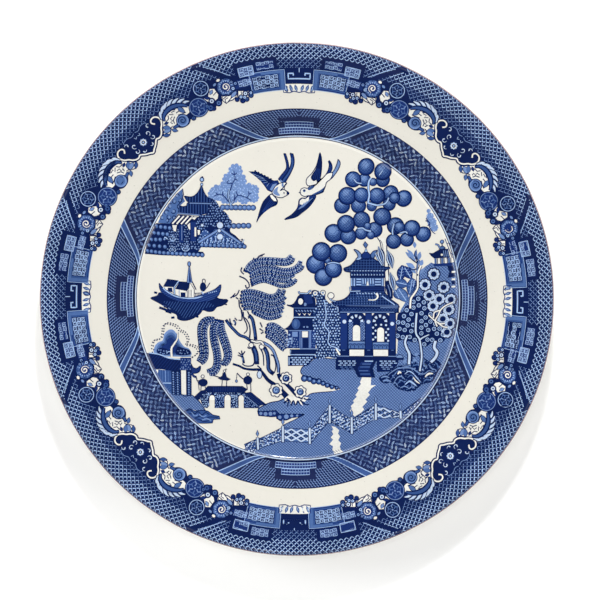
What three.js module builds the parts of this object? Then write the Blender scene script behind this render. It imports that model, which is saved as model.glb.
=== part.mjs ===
// A printed china dinner plate: one fired clay body with its foot ring, the transfer prints laid on
// its face, and the clear glaze that seals them in. Millimetres, +Z up. The foot ring stands on
// z = 0, the origin is under the plate's centre, and +Y is the top of the printed scene.
import * as THREE from 'three';

// Driving dimensions.
const PLATE_RADIUS = 133;
const WELL_RADIUS = 81.5;
const WELL_FLOOR_HEIGHT = 6.5;
const BODY_THICKNESS = 4.2;
const LIP_THICKNESS = 3;
const GLAZE_THICKNESS = 0.25;
const PRINT_THICKNESS = 0.06;

// The wall sweeps up out of the well floor, rolls over to the rim, and the rim lifts a little more.
const WALL_HOLLOW_RADIUS = 13;
const WALL_CREST_RADIUS = 20;
const WALL_SLOPE = THREE.MathUtils.degToRad(44);
const RIM_INNER_SLOPE = THREE.MathUtils.degToRad(11);
const RIM_OUTER_SLOPE = THREE.MathUtils.degToRad(16);

// The foot ring, with a level bearing face that is left bare of glaze.
const FOOT_OUTER_RADIUS = 77;
const FOOT_WIDTH = 3.4;
const FOOT_BEVEL = 0.5;
const FOOT_FLARE = 1.4;
const GLAZE_END_HEIGHT = 0.9;

// The radii between which each print lies.
const SCENE_RADIUS = 82.8;
const RING_LINE = [83.5, 84.4];
const WALL_BORDER = [85, 98.7];
const RIM_BORDER = [106, 130.6];

// How finely each stretch of the profile is cut.
const TURN_SEGMENTS = 48;
const HOLLOW_STEPS = 3;
const CREST_STEPS = 2;
const RIM_STEPS = 2;
const LIP_STEPS = 6;

// The lip line runs from the lip's outermost point to one step below it.
const LIP_LINE_START = 2;
const LIP_LINE_END = 3;

// A point of the clay's surface: its radius and height, and the slope of the surface there.
function surfacePoint(radius, height, slope) {
  return { radius, height, slope };
}

// The same point moved out of the clay, square to its surface.
function raised(point, distance) {
  return surfacePoint(
    point.radius - Math.sin(point.slope) * distance,
    point.height + Math.cos(point.slope) * distance,
    point.slope,
  );
}

// A run of points that bends from one slope to another on an arc; it starts after `from`.
function bend(from, endSlope, arcRadius, steps) {
  const turn = Math.sign(endSlope - from.slope);
  return Array.from({ length: steps }, (_, i) => {
    const slope = THREE.MathUtils.lerp(from.slope, endSlope, (i + 1) / steps);
    return surfacePoint(
      from.radius + turn * arcRadius * (Math.sin(slope) - Math.sin(from.slope)),
      from.height + turn * arcRadius * (Math.cos(from.slope) - Math.cos(slope)),
      slope,
    );
  });
}

// The clay's face, from the axis to where the lip starts to turn over.
function facePoints() {
  const axis = surfacePoint(0, WELL_FLOOR_HEIGHT, 0);
  const wellEdge = surfacePoint(WELL_RADIUS, WELL_FLOOR_HEIGHT, 0);
  const hollow = bend(wellEdge, WALL_SLOPE, WALL_HOLLOW_RADIUS, HOLLOW_STEPS);
  const crest = bend(hollow.at(-1), RIM_INNER_SLOPE, WALL_CREST_RADIUS, CREST_STEPS);
  const rimStart = crest.at(-1);
  const lipOverhang = (LIP_THICKNESS / 2) * (1 + Math.sin(RIM_OUTER_SLOPE));
  const lipStart = PLATE_RADIUS - GLAZE_THICKNESS - lipOverhang;
  const slopeGain = Math.sin(RIM_OUTER_SLOPE) - Math.sin(RIM_INNER_SLOPE);
  const rimArcRadius = (lipStart - rimStart.radius) / slopeGain;
  const rim = bend(rimStart, RIM_OUTER_SLOPE, rimArcRadius, RIM_STEPS);
  return [axis, wellEdge, ...hollow, ...crest, ...rim];
}

// The face with a point added wherever a print starts or ends, so that every layer shares its points.
function withPrintEdges(points, edges) {
  const all = [...points];
  edges.forEach((edge) => {
    const next = all.findIndex((point) => point.radius > edge);
    const [a, b] = [all[next - 1], all[next]];
    const share = (edge - a.radius) / (b.radius - a.radius);
    const between = (key) => THREE.MathUtils.lerp(a[key], b[key], share);
    all.splice(next, 0, surfacePoint(edge, between('height'), between('slope')));
  });
  return all;
}

// The lip: half a turn from the rim's slope to the back of the plate.
function lipPoints(rimEnd) {
  return bend(rimEnd, rimEnd.slope - Math.PI, LIP_THICKNESS / 2, LIP_STEPS).slice(0, -1);
}

// The back of rim and wall: the face set through the clay, thinning towards the lip.
function backPoints(face) {
  const outside = face.filter((point) => point.radius >= WELL_RADIUS).reverse();
  const lipRadius = outside[0].radius;
  return outside.map((point) => {
    const share = (point.radius - WELL_RADIUS) / (lipRadius - WELL_RADIUS);
    const thickness = THREE.MathUtils.lerp(BODY_THICKNESS, LIP_THICKNESS, share);
    return { ...raised(point, -thickness), slope: point.slope - Math.PI };
  });
}

// The foot ring's section: where the glaze ends on its outer side, the bearing face, the inner side
// up to the recess, and the recess's centre.
function footPoints() {
  const innerRadius = FOOT_OUTER_RADIUS - FOOT_WIDTH;
  const recessHeight = WELL_FLOOR_HEIGHT - BODY_THICKNESS;
  return {
    glazeEnd: surfacePoint(FOOT_OUTER_RADIUS, GLAZE_END_HEIGHT, -Math.PI / 2),
    bearing: [
      surfacePoint(FOOT_OUTER_RADIUS - FOOT_BEVEL, 0, -Math.PI),
      surfacePoint(innerRadius + FOOT_BEVEL, 0, -Math.PI),
    ],
    inner: [
      surfacePoint(innerRadius, GLAZE_END_HEIGHT, -1.5 * Math.PI),
      surfacePoint(innerRadius - FOOT_FLARE, recessHeight, -1.25 * Math.PI),
    ],
    centre: surfacePoint(0, recessHeight, -Math.PI),
  };
}

// A solid of revolution about +Z from points listed from the top of the axis outward and down.
function turned(points) {
  const profile = points.map((point) => new THREE.Vector2(point.radius, point.height));
  return new THREE.LatheGeometry(profile.reverse(), TURN_SEGMENTS).rotateX(Math.PI / 2);
}

function part(name, geometry, look) {
  const mesh = new THREE.Mesh(geometry, new THREE.MeshStandardMaterial({ metalness: 0, ...look }));
  mesh.name = name;
  return mesh;
}

const BISCUIT = { color: 0xe6e0d2, roughness: 0.8 };
const COBALT = { color: 0x2b4382, roughness: 0.45 };
const LIP_BROWN = { color: 0x8a6f78, roughness: 0.45 };
const CLEAR_GLAZE = { color: 0xe9e7de, roughness: 0.08, transparent: true, opacity: 0.25 };

const printRanges = {
  centre_scene_print: [0, SCENE_RADIUS],
  scene_ring_line: RING_LINE,
  wall_border_print: WALL_BORDER,
  rim_border_print: RIM_BORDER,
};
const printEdges = Object.values(printRanges).flat().filter((edge) => edge > 0);

const plainFace = facePoints();
const face = withPrintEdges(plainFace, printEdges);
const lip = lipPoints(face.at(-1));
const back = backPoints(plainFace);
const foot = footPoints();
const lipBed = lip.slice(LIP_LINE_START, LIP_LINE_END + 1);

// The stretch of the face that a print covers.
function printBed([inner, outer]) {
  return face.filter((point) => point.radius >= inner && point.radius <= outer);
}

// A print: its top face, then its underside back to the start.
function printGeometry(bed) {
  const top = bed.map((point) => raised(point, PRINT_THICKNESS));
  const under = [...bed].reverse();
  const closing = bed[0].radius > 0 ? [top[0]] : [];
  return turned([...top, ...under, ...closing]);
}

// The clay and the foot ring as one fired body.
function bodyGeometry() {
  return turned([...face, ...lip, ...back, foot.glazeEnd, ...foot.bearing, ...foot.inner, foot.centre]);
}

// What the glaze lies on: the clay, stepped up over each print, as far as the foot ring's side.
function glazeBed() {
  const ranges = Object.values(printRanges);
  const onFace = face.flatMap((point) => {
    const range = ranges.find(([inner, outer]) => point.radius >= inner && point.radius <= outer);
    if (!range) return [point];
    const top = raised(point, PRINT_THICKNESS);
    if (point.radius === range[0] && range[0] > 0) return [point, top];
    return point.radius === range[1] ? [top, point] : [top];
  });
  const onLip = [
    ...lip.slice(0, LIP_LINE_START + 1),
    ...lipBed.map((point) => raised(point, PRINT_THICKNESS)),
    ...lip.slice(LIP_LINE_END),
  ];
  return [...onFace, ...onLip, ...back, foot.glazeEnd];
}

// The glaze over face, lip and back, as one coat.
function coatGeometry() {
  const bare = [...plainFace, ...lip, ...back, foot.glazeEnd];
  const surface = bare.map((point) => raised(point, GLAZE_THICKNESS));
  return turned([...surface, ...glazeBed().reverse()]);
}

// The glaze in the recess under the plate, inside the foot ring.
function recessGlazeGeometry() {
  const bed = [...foot.inner, foot.centre];
  const surface = bed.map((point) => raised(point, GLAZE_THICKNESS));
  return turned([...bed.reverse(), ...surface]);
}

const plate = new THREE.Group();
plate.add(part('plate_body', bodyGeometry(), BISCUIT));
Object.entries(printRanges).forEach(([name, range]) => {
  plate.add(part(name, printGeometry(printBed(range)), COBALT));
});
plate.add(part('lip_edge_line', printGeometry(lipBed), LIP_BROWN));
plate.add(part('glaze_coat', coatGeometry(), CLEAR_GLAZE));
plate.add(part('foot_recess_glaze', recessGlazeGeometry(), CLEAR_GLAZE));

export default plate;
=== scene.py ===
"""A blue-and-white printed china dinner plate: smooth glazed ware, with the whole printed pattern
drawn as thin ink shapes on its surface. The pattern is drawn here in millimetres, with x to the
right and y towards the top of the scene, and each shape is laid onto the plate's curved face."""

import bisect
import math
import random

import bmesh
import bpy
import mathutils
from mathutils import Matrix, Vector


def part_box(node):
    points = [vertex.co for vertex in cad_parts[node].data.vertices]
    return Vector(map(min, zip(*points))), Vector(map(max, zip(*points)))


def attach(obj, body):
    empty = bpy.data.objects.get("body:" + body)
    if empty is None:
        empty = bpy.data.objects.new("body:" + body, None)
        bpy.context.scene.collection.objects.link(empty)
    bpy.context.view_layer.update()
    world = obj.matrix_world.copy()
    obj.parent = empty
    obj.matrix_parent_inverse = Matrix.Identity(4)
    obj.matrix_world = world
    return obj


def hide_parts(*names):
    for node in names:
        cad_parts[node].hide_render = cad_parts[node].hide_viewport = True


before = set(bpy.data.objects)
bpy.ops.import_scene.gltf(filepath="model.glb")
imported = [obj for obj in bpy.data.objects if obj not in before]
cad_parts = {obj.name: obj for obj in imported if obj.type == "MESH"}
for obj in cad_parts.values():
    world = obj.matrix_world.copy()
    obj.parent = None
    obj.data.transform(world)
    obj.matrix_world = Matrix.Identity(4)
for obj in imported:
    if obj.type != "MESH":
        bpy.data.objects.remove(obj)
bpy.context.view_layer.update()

MM = 0.001

# ---------------------------------------------------------------- the plate's shape, in millimetres
PLATE_RADIUS = round(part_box("glaze_coat")[1][0] / MM)
WELL_RADIUS = 81.5
FLOOR_HEIGHT = 6.5
BODY_THICKNESS = 4.2
LIP_THICKNESS = 3.0
GLAZE = 0.25
HOLLOW_RADIUS = 13.0
CREST_RADIUS = 20.0
WALL_SLOPE = math.radians(44)
RIM_SLOPES = math.radians(11), math.radians(16)
FOOT_RADIUS = 77.0
FOOT_WIDTH = 3.4
FOOT_BEVEL = 0.5
BEVEL_INSET = 0.08
BEVEL_HEIGHT = 0.3
GLAZE_END = 0.9

# How finely each stretch of the profile is cut.
TURN_STEPS = 288
FLOOR_STEPS = 8
HOLLOW_STEPS = 20
CREST_STEPS = 16
RIM_STEPS = 14
LIP_STEPS = 12
FOOT_STEPS = 6
SHARP_ANGLE = math.radians(35)


def raised(point, distance):
    """A profile point (radius, height, slope) moved square to its surface."""
    radius, height, slope = point
    return radius - math.sin(slope) * distance, height + math.cos(slope) * distance, slope


def bend(start, end_slope, arc_radius, steps):
    """Profile points that bend from the start's slope to another on an arc, without the start."""
    radius, height, slope = start
    turn = math.copysign(1, end_slope - slope)
    points = []
    for i in range(1, steps + 1):
        s = slope + (end_slope - slope) * i / steps
        points.append((
            radius + turn * arc_radius * (math.sin(s) - math.sin(slope)),
            height + turn * arc_radius * (math.cos(slope) - math.cos(s)),
            s,
        ))
    return points


def face_profile():
    """The clay's face, from the axis to where the lip starts to turn over."""
    floor = [(WELL_RADIUS * i / FLOOR_STEPS, FLOOR_HEIGHT, 0.0) for i in range(FLOOR_STEPS + 1)]
    hollow = bend(floor[-1], WALL_SLOPE, HOLLOW_RADIUS, HOLLOW_STEPS)
    crest = bend(hollow[-1], RIM_SLOPES[0], CREST_RADIUS, CREST_STEPS)
    overhang = LIP_THICKNESS / 2 * (1 + math.sin(RIM_SLOPES[1]))
    rim_width = PLATE_RADIUS - GLAZE - overhang - crest[-1][0]
    rim_arc = rim_width / (math.sin(RIM_SLOPES[1]) - math.sin(RIM_SLOPES[0]))
    return floor + hollow + crest + bend(crest[-1], RIM_SLOPES[1], rim_arc, RIM_STEPS)


def back_profile(face):
    """The back of rim and wall, from the lip inward: the face set through the clay."""
    outside = [p for p in face if p[0] >= WELL_RADIUS][::-1]
    lip_radius = outside[0][0]
    points = []
    for point in outside:
        share = (point[0] - WELL_RADIUS) / (lip_radius - WELL_RADIUS)
        thickness = BODY_THICKNESS + (LIP_THICKNESS - BODY_THICKNESS) * share
        radius, height, slope = raised(point, -thickness)
        points.append((radius, height, slope - math.pi))
    return points


FACE = face_profile()
LIP = bend(FACE[-1], FACE[-1][2] - math.pi, LIP_THICKNESS / 2, LIP_STEPS)[:-1]
BACK = back_profile(FACE)
# The glazed face that the print lies on, carried on over the lip for half of its turn.
LIP_SHOULDER = LIP[:LIP_STEPS // 2]
SURFACE = [raised(p, GLAZE) for p in FACE + LIP_SHOULDER]
SURFACE_RADII = [p[0] for p in SURFACE]
LIP_START = FACE[-1][0]


def on_surface(radius, key):
    """Height (key 1) or slope (key 2) of the glazed face at this distance from the axis."""
    i = min(max(bisect.bisect_right(SURFACE_RADII, radius), 1), len(SURFACE) - 1)
    before, after = SURFACE[i - 1], SURFACE[i]
    share = (radius - before[0]) / (after[0] - before[0])
    return before[key] + (after[key] - before[key]) * share


def surface_height(radius):
    """Height of the glazed face at this distance from the axis."""
    return on_surface(radius, 1)


def surface_slope(radius):
    """Slope of the glazed face at this distance from the axis."""
    return on_surface(radius, 2)


# ---------------------------------------------------------------- materials
def linear(red, green, blue):
    """An 8-bit screen colour as the linear colour that shaders take."""
    return tuple(((c / 255 + 0.055) / 1.055) ** 2.4 for c in (red, green, blue)) + (1.0,)


INKS = {
    # The darkest ink is used only for painted shade along the wall's inner edge, in the hollow.
    "midnight": linear(5, 17, 56),
    "navy": linear(3, 24, 72),
    "cobalt": linear(20, 43, 102),
    "blue": linear(47, 75, 130),
    "mid": linear(69, 98, 150),
    "wash": linear(104, 130, 176),
    "mist": linear(106, 134, 184),
    "pale": linear(150, 177, 218),
    "frost": linear(180, 196, 220),
    "white": linear(218, 217, 210),
}
GLAZE_CREAM = linear(225, 222, 212)
BARE_CLAY = linear(214, 205, 186)


def noise(tree, scale, detail=2.0):
    """A noise texture in object space; the scale is in features per metre."""
    place = tree.nodes.new("ShaderNodeTexCoord")
    texture = tree.nodes.new("ShaderNodeTexNoise")
    texture.inputs["Scale"].default_value = scale
    texture.inputs["Detail"].default_value = detail
    tree.links.new(place.outputs["Object"], texture.inputs["Vector"])
    return texture.outputs["Fac"]


def spread(tree, value, low, high, start=0.3, end=0.7):
    """Stretches a noise, by default its middle, to run between two numbers."""
    node = tree.nodes.new("ShaderNodeMapRange")
    node.inputs["From Min"].default_value = start
    node.inputs["From Max"].default_value = end
    node.inputs["To Min"].default_value = low
    node.inputs["To Max"].default_value = high
    tree.links.new(value, node.inputs["Value"])
    return node.outputs["Result"]


def mixed(tree, factor, first, second):
    """A colour mix node's result."""
    node = tree.nodes.new("ShaderNodeMix")
    node.data_type = "RGBA"
    for socket, value in ((node.inputs[0], factor), (node.inputs[6], first), (node.inputs[7], second)):
        if isinstance(value, bpy.types.NodeSocket):
            tree.links.new(value, socket)
        else:
            socket.default_value = value
    return node.outputs[2]


def shaded(colour, share):
    """The colour made lighter or darker by a share of itself."""
    return tuple(min(c * share, 1.0) for c in colour[:3]) + (1.0,)


def new_material(name):
    """A material with its node tree and its Principled shader."""
    material = bpy.data.materials.new(name)
    material.use_nodes = True
    return material, material.node_tree, material.node_tree.nodes["Principled BSDF"]


def glossy_glaze(shader):
    """The clear glaze that lies over clay and ink alike."""
    shader.inputs["Coat Weight"].default_value = 0.9
    shader.inputs["Coat Roughness"].default_value = 0.05
    shader.inputs["Coat IOR"].default_value = 1.5


def bumped(tree, shader, height, distance):
    """Lets this height stand out of the surface by the distance, in metres."""
    bump = tree.nodes.new("ShaderNodeBump")
    bump.inputs["Distance"].default_value = distance
    tree.links.new(height, bump.inputs["Height"])
    tree.links.new(bump.outputs["Normal"], shader.inputs["Normal"])
    return bump


def ink_material(name, colour):
    """Transfer ink under the glaze: it pools and thins a little, and it is finely mottled."""
    material, tree, shader = new_material("ink_" + name)
    pooled = spread(tree, noise(tree, 55.0, 3.0), 0.0, 1.0)
    mottle = spread(tree, noise(tree, 1500.0), 0.0, 0.35)
    tone = mixed(tree, pooled, shaded(colour, 0.86), shaded(colour, 1.16))
    tree.links.new(mixed(tree, mottle, tone, shaded(colour, 1.5)), shader.inputs["Base Color"])
    tree.links.new(spread(tree, noise(tree, 300.0), 0.32, 0.5), shader.inputs["Roughness"])
    shader.inputs["Specular IOR Level"].default_value = 0.0
    glossy_glaze(shader)
    return material


def glaze_material():
    """Cream glazed ware with faint tone drift, rare specks and a barely uneven surface."""
    material, tree, shader = new_material("cream_glaze")
    drift = spread(tree, noise(tree, 14.0, 3.0), 0.0, 1.0)
    tone = mixed(tree, drift, shaded(GLAZE_CREAM, 0.965), GLAZE_CREAM)
    specks = spread(tree, noise(tree, 900.0, 1.0), 0.0, 1.0, start=0.74, end=0.78)
    tree.links.new(mixed(tree, specks, tone, shaded(GLAZE_CREAM, 0.7)), shader.inputs["Base Color"])
    tree.links.new(spread(tree, noise(tree, 120.0), 0.2, 0.32), shader.inputs["Roughness"])
    bumped(tree, shader, noise(tree, 90.0), 0.0002).inputs["Strength"].default_value = 0.05
    shader.inputs["Specular IOR Level"].default_value = 0.1
    glossy_glaze(shader)
    return material


def clay_material():
    """Matte fired clay, as on the foot ring's wiped bearing face."""
    material, tree, shader = new_material("bare_clay")
    grain = spread(tree, noise(tree, 2200.0, 4.0), 0.0, 1.0)
    stain = spread(tree, noise(tree, 60.0), 0.0, 0.5)
    tone = mixed(tree, grain, shaded(BARE_CLAY, 0.82), BARE_CLAY)
    tree.links.new(mixed(tree, stain, tone, shaded(BARE_CLAY, 0.72)), shader.inputs["Base Color"])
    shader.inputs["Roughness"].default_value = 0.85
    bumped(tree, shader, noise(tree, 2200.0, 4.0), 0.0001)
    return material


def lip_material():
    """The line where the glaze thins over the lip and the iron in the clay shows pinkish brown."""
    material, tree, shader = new_material("lip_line")
    worn = spread(tree, noise(tree, 70.0, 4.0), 0.0, 1.0)
    tone = mixed(tree, worn, linear(128, 98, 112), linear(196, 170, 170))
    tree.links.new(tone, shader.inputs["Base Color"])
    tree.links.new(spread(tree, noise(tree, 200.0), 0.25, 0.4), shader.inputs["Roughness"])
    glossy_glaze(shader)
    return material


INK_MATERIALS = {name: ink_material(name, colour) for name, colour in INKS.items()}
CREAM_GLAZE = glaze_material()


# ---------------------------------------------------------------- pieces
def add_piece(name, verts, faces, material, node):
    """Makes a mesh piece, given in millimetres, that stands for a CAD node and rides on the plate."""
    mesh = bpy.data.meshes.new(name)
    mesh.from_pydata([(x * MM, y * MM, z * MM) for x, y, z in verts], [], faces)
    mesh.materials.append(material)
    piece = bpy.data.objects.new(name, mesh)
    bpy.context.scene.collection.objects.link(piece)
    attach(piece, "root")
    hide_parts(node)
    return piece


def turned_piece(name, profile, material, node):
    """A closed solid of revolution from a closed profile of (radius, height). A point on the axis
    becomes one shared vertex."""
    verts = []
    rings = []
    for radius, height in profile:
        steps = TURN_STEPS if radius > 0 else 1
        rings.append(range(len(verts), len(verts) + steps))
        angles = [2 * math.pi * i / TURN_STEPS for i in range(steps)]
        verts += [(radius * math.cos(a), radius * math.sin(a), height) for a in angles]
    faces = []
    for low, high in zip(rings, rings[1:] + rings[:1]):
        for i in range(TURN_STEPS):
            j = (i + 1) % TURN_STEPS
            corners = [low[i % len(low)], low[j % len(low)], high[j % len(high)], high[i % len(high)]]
            corners = list(dict.fromkeys(corners))
            if len(corners) > 2:
                faces.append(corners)
    piece = add_piece(name, verts, faces, material, node)
    shape = bmesh.new()
    shape.from_mesh(piece.data)
    bmesh.ops.recalc_face_normals(shape, faces=shape.faces)
    shape.to_mesh(piece.data)
    shape.free()
    piece.data.shade_smooth()
    piece.data.set_sharp_from_angle(angle=SHARP_ANGLE)
    return piece


def plain(points):
    """Profile points without their slopes."""
    return [(point[0], point[1]) for point in points]


def build_ware():
    """The clay body with its foot ring, and the glaze over it and in the recess under it."""
    inner_radius = FOOT_RADIUS - FOOT_WIDTH
    recess = FLOOR_HEIGHT - BODY_THICKNESS
    fillet = recess - GLAZE_END
    outer_start = (FOOT_RADIUS + fillet, recess, -math.pi)
    inner_start = (inner_radius, GLAZE_END, -1.5 * math.pi)
    outer_side = [outer_start] + bend(outer_start, -math.pi / 2, fillet, FOOT_STEPS)
    inner_side = [inner_start] + bend(inner_start, -math.pi, fillet, FOOT_STEPS)
    bearing = [
        (FOOT_RADIUS - BEVEL_INSET, BEVEL_HEIGHT), (FOOT_RADIUS - FOOT_BEVEL, 0.0),
        (inner_radius + FOOT_BEVEL, 0.0), (inner_radius + BEVEL_INSET, BEVEL_HEIGHT),
    ]
    outside = FACE + LIP + BACK + outer_side
    body = plain(outside) + bearing + plain(inner_side) + [(0.0, recess)]
    turned_piece("clay_body_smooth", body, clay_material(), "plate_body")
    coat = plain(outside) + plain(raised(p, GLAZE) for p in outside)[::-1]
    turned_piece("glaze_coat_smooth", coat, CREAM_GLAZE, "glaze_coat")
    recess_coat = plain(inner_side) + [(0.0, recess), (0.0, recess - GLAZE)]
    recess_coat += plain(raised(p, GLAZE) for p in inner_side)[::-1]
    turned_piece("recess_glaze_smooth", recess_coat, CREAM_GLAZE, "foot_recess_glaze")


build_ware()


# ---------------------------------------------------------------- drawing
# Shapes are lists of (x, y) points in millimetres. Later layers lie over earlier ones.
LAYER_STEP = 0.012
LOWEST_LAYER = 0.03
# Shapes of one layer that overlap are kept apart by hair's breadths, in turn.
HAIR_STEP = 0.0008
HAIR_CYCLE = 13
# Larger shapes off the flat floor are cut up: finely as far out as BEND_END, coarsely beyond.
LARGEST_FLAT = 3.0
FINEST_FLAT = 0.9
# Blue bleeds into white lines narrower than this, and into white dots of a smaller radius.
FINE_WHITE = 0.6
BEND_END = 99.0
# The scene is printed a little off the plate's centre. The shift fades out towards its edge.
SCENE_EDGE = 83.3
SCENE_SHIFT = (-0.4, -0.7)
SHIFT_FADE = 10.0


def bled(ink, width):
    """The ink that a line of this width, or a dot of this radius, comes out in."""
    return "pale" if ink == "white" and width < FINE_WHITE else ink


class Print:
    """The shapes of one part of the pattern, gathered by ink, each ink becoming one mesh piece."""

    def __init__(self, name, node, layer):
        """An empty print for this CAD node. Prints on higher layers lie over lower ones."""
        self.name = name
        self.node = node
        self.layer = layer
        self.shapes = {}
        self.count = 0

    def add(self, ink, points, faces, lift):
        """Adds faces, each a list of indices into the points."""
        verts, all_faces = self.shapes.setdefault(ink, ([], []))
        start = len(verts)
        height = LOWEST_LAYER + (self.layer + lift) * LAYER_STEP + (self.count % HAIR_CYCLE) * HAIR_STEP
        self.count += 1
        verts += [(x, y, height) for x, y in points]
        for face in faces:
            corners = [points[i] for i in face]
            turn = sum(a[0] * b[1] - b[0] * a[1] for a, b in zip(corners, corners[1:] + corners[:1]))
            ordered = face if turn > 0 else face[::-1]
            all_faces.append([start + i for i in ordered])

    def area(self, ink, outline, lift=0):
        """One shape with this outline. A large one off the flat floor is cut up to follow the face."""
        reach = max(math.hypot(*p) for p in outline)
        size = max(max(p[k] for p in outline) - min(p[k] for p in outline) for k in (0, 1))
        if reach < WELL_RADIUS or size < LARGEST_FLAT:
            self.add(ink, outline, [list(range(len(outline)))], lift)
        else:
            cell = FINEST_FLAT if reach < BEND_END else LARGEST_FLAT
            self.add(ink, *cut_up(outline, cell), lift)

    def strip(self, ink, one_side, other_side, lift=0, rows=1):
        """A sheet between two lines of points that run the same way."""
        lines = [
            [mix(a, b, row / rows) for a, b in zip(one_side, other_side)] for row in range(rows + 1)
        ]
        count = len(one_side)
        faces = [
            [row * count + i, row * count + i + 1, (row + 1) * count + i + 1, (row + 1) * count + i]
            for row in range(rows) for i in range(count - 1)
        ]
        self.add(ink, [p for line in lines for p in line], faces, lift)

    def line(self, ink, points, width, lift=0, closed=False):
        """A drawn line. The width is a number, or a function of the share of the way along."""
        if closed:
            points = points + points[:1]
        if not callable(width):
            ink = bled(ink, width)
        left, right = [], []
        count = len(points)
        for i, point in enumerate(points):
            before = points[i - 1] if i else (points[-2] if closed else point)
            after = points[i + 1] if i < count - 1 else (points[1] if closed else point)
            dx, dy = after[0] - before[0], after[1] - before[1]
            length = math.hypot(dx, dy) or 1.0
            half = (width(i / (count - 1)) if callable(width) else width) / 2
            left.append((point[0] - dy / length * half, point[1] + dx / length * half))
            right.append((point[0] + dy / length * half, point[1] - dx / length * half))
        self.strip(ink, left, right, lift)

    def dot(self, ink, centre, radius, lift=0, sides=10):
        """A filled round dot."""
        self.area(bled(ink, radius), circle(centre, radius, sides), lift)

    def build(self):
        """Lays the shapes onto the plate's face, one piece for each ink."""
        for ink, (verts, faces) in self.shapes.items():
            placed, normals = [], []
            for x, y, height in verts:
                if self.node == "centre_scene_print":
                    x, y = off_centre(x, y)
                radius = math.hypot(x, y)
                slope = surface_slope(radius)
                lean = -math.sin(slope) / max(radius, 1e-6)
                placed.append((x, y, surface_height(radius) + height))
                normals.append((x * lean, y * lean, math.cos(slope)))
            piece = add_piece(
                f"{self.name}_{ink}", placed, faces, INK_MATERIALS[ink], self.node
            )
            piece.data.shade_smooth()
            piece.data.normals_split_custom_set_from_vertices(normals)


def off_centre(x, y):
    """Where a point of the scene lies on the plate."""
    share = min(1.0, max(0.0, (SCENE_EDGE - math.hypot(x, y)) / SHIFT_FADE))
    return x + SCENE_SHIFT[0] * share, y + SCENE_SHIFT[1] * share


def cut_up(outline, cell):
    """A flat shape cut along a square grid: its points, and faces as indices into them."""
    shape = bmesh.new()
    shape.faces.new([shape.verts.new((x, y, 0)) for x, y in outline])
    for axis, normal in ((0, (1, 0, 0)), (1, (0, 1, 0))):
        low, high = min(p[axis] for p in outline), max(p[axis] for p in outline)
        for i in range(math.floor(low / cell) + 1, math.ceil(high / cell)):
            place = [i * cell if k == axis else 0 for k in range(3)]
            parts = shape.verts[:] + shape.edges[:] + shape.faces[:]
            bmesh.ops.bisect_plane(shape, geom=parts, plane_co=place, plane_no=normal)
    shape.verts.index_update()
    points = [(v.co.x, v.co.y) for v in shape.verts]
    faces = [[v.index for v in face.verts] for face in shape.faces]
    shape.free()
    return points, faces


def mix(a, b, share):
    """The point this share of the way from a to b."""
    return a[0] + (b[0] - a[0]) * share, a[1] + (b[1] - a[1]) * share


def circle(centre, radius, sides=24, squash=1.0):
    """Points round a circle, which squash flattens from top to bottom."""
    return [
        (centre[0] + radius * math.cos(a), centre[1] + radius * squash * math.sin(a))
        for a in (2 * math.pi * i / sides for i in range(sides))
    ]


def arc(centre, radius, start, end, steps=12):
    """Points on an arc between two angles in degrees, anticlockwise from +x."""
    turns = [math.radians(start + (end - start) * i / steps) for i in range(steps + 1)]
    return [(centre[0] + radius * math.cos(a), centre[1] + radius * math.sin(a)) for a in turns]


def spiral(centre, radius, start, turns, steps=28, end_radius=0.0):
    """Points that wind inward from this radius; negative turns wind clockwise."""
    points = []
    for i in range(steps + 1):
        share = i / steps
        a = math.radians(start) + 2 * math.pi * turns * share
        r = radius + (end_radius - radius) * share
        points.append((centre[0] + r * math.cos(a), centre[1] + r * math.sin(a)))
    return points


def curve(points, steps=6, closed=False):
    """A smooth line through the points."""
    count = len(points)
    result = []
    for i in range(count if closed else count - 1):
        if closed:
            p0, p1, p2, p3 = (points[(i + k) % count] for k in (-1, 0, 1, 2))
        else:
            p0, p1, p2, p3 = points[max(i - 1, 0)], points[i], points[i + 1], points[min(i + 2, count - 1)]
        for k in range(steps):
            t = k / steps
            result.append(tuple(
                0.5 * (2 * b + (c - a) * t + (2 * a - 5 * b + 4 * c - d) * t * t
                       + (3 * b - a - 3 * c + d) * t ** 3)
                for a, b, c, d in zip(p0, p1, p2, p3)
            ))
    return result if closed else result + [points[-1]]


def polar(angle, radius):
    """A point at this many degrees clockwise from the top of the plate."""
    a = math.radians(angle)
    return radius * math.sin(a), radius * math.cos(a)


class Spot:
    """A place on a border. Points given as (across, outward) in millimetres are put there; a
    mirrored spot is reflected in its quarter's axis."""

    def __init__(self, axis, offset, radius, mirror=1):
        """The offset is in degrees from the axis, and the mirror is 1 or -1."""
        self.angle = math.radians(axis + mirror * offset)
        self.radius = radius
        self.mirror = mirror

    def __call__(self, across, outward):
        """Where on the plate this many millimetres across and outward are."""
        sine, cosine = math.sin(self.angle), math.cos(self.angle)
        r = self.radius + outward
        x = across * self.mirror
        return r * sine + x * cosine, r * cosine - x * sine

    def all(self, points):
        """These points, each put in its place."""
        return [self(*p) for p in points]


def polar_strip(sheet, ink, start, end, inner, outer, lift=0, step=1.0, rows=1):
    """A sheet between two angles; inner and outer are radii, or functions of the angle."""
    count = max(1, math.ceil(abs(end - start) / step))
    angles = [start + (end - start) * i / count for i in range(count + 1)]
    low = [polar(a, inner(a) if callable(inner) else inner) for a in angles]
    high = [polar(a, outer(a) if callable(outer) else outer) for a in angles]
    sheet.strip(ink, low, high, lift, rows)


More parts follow.
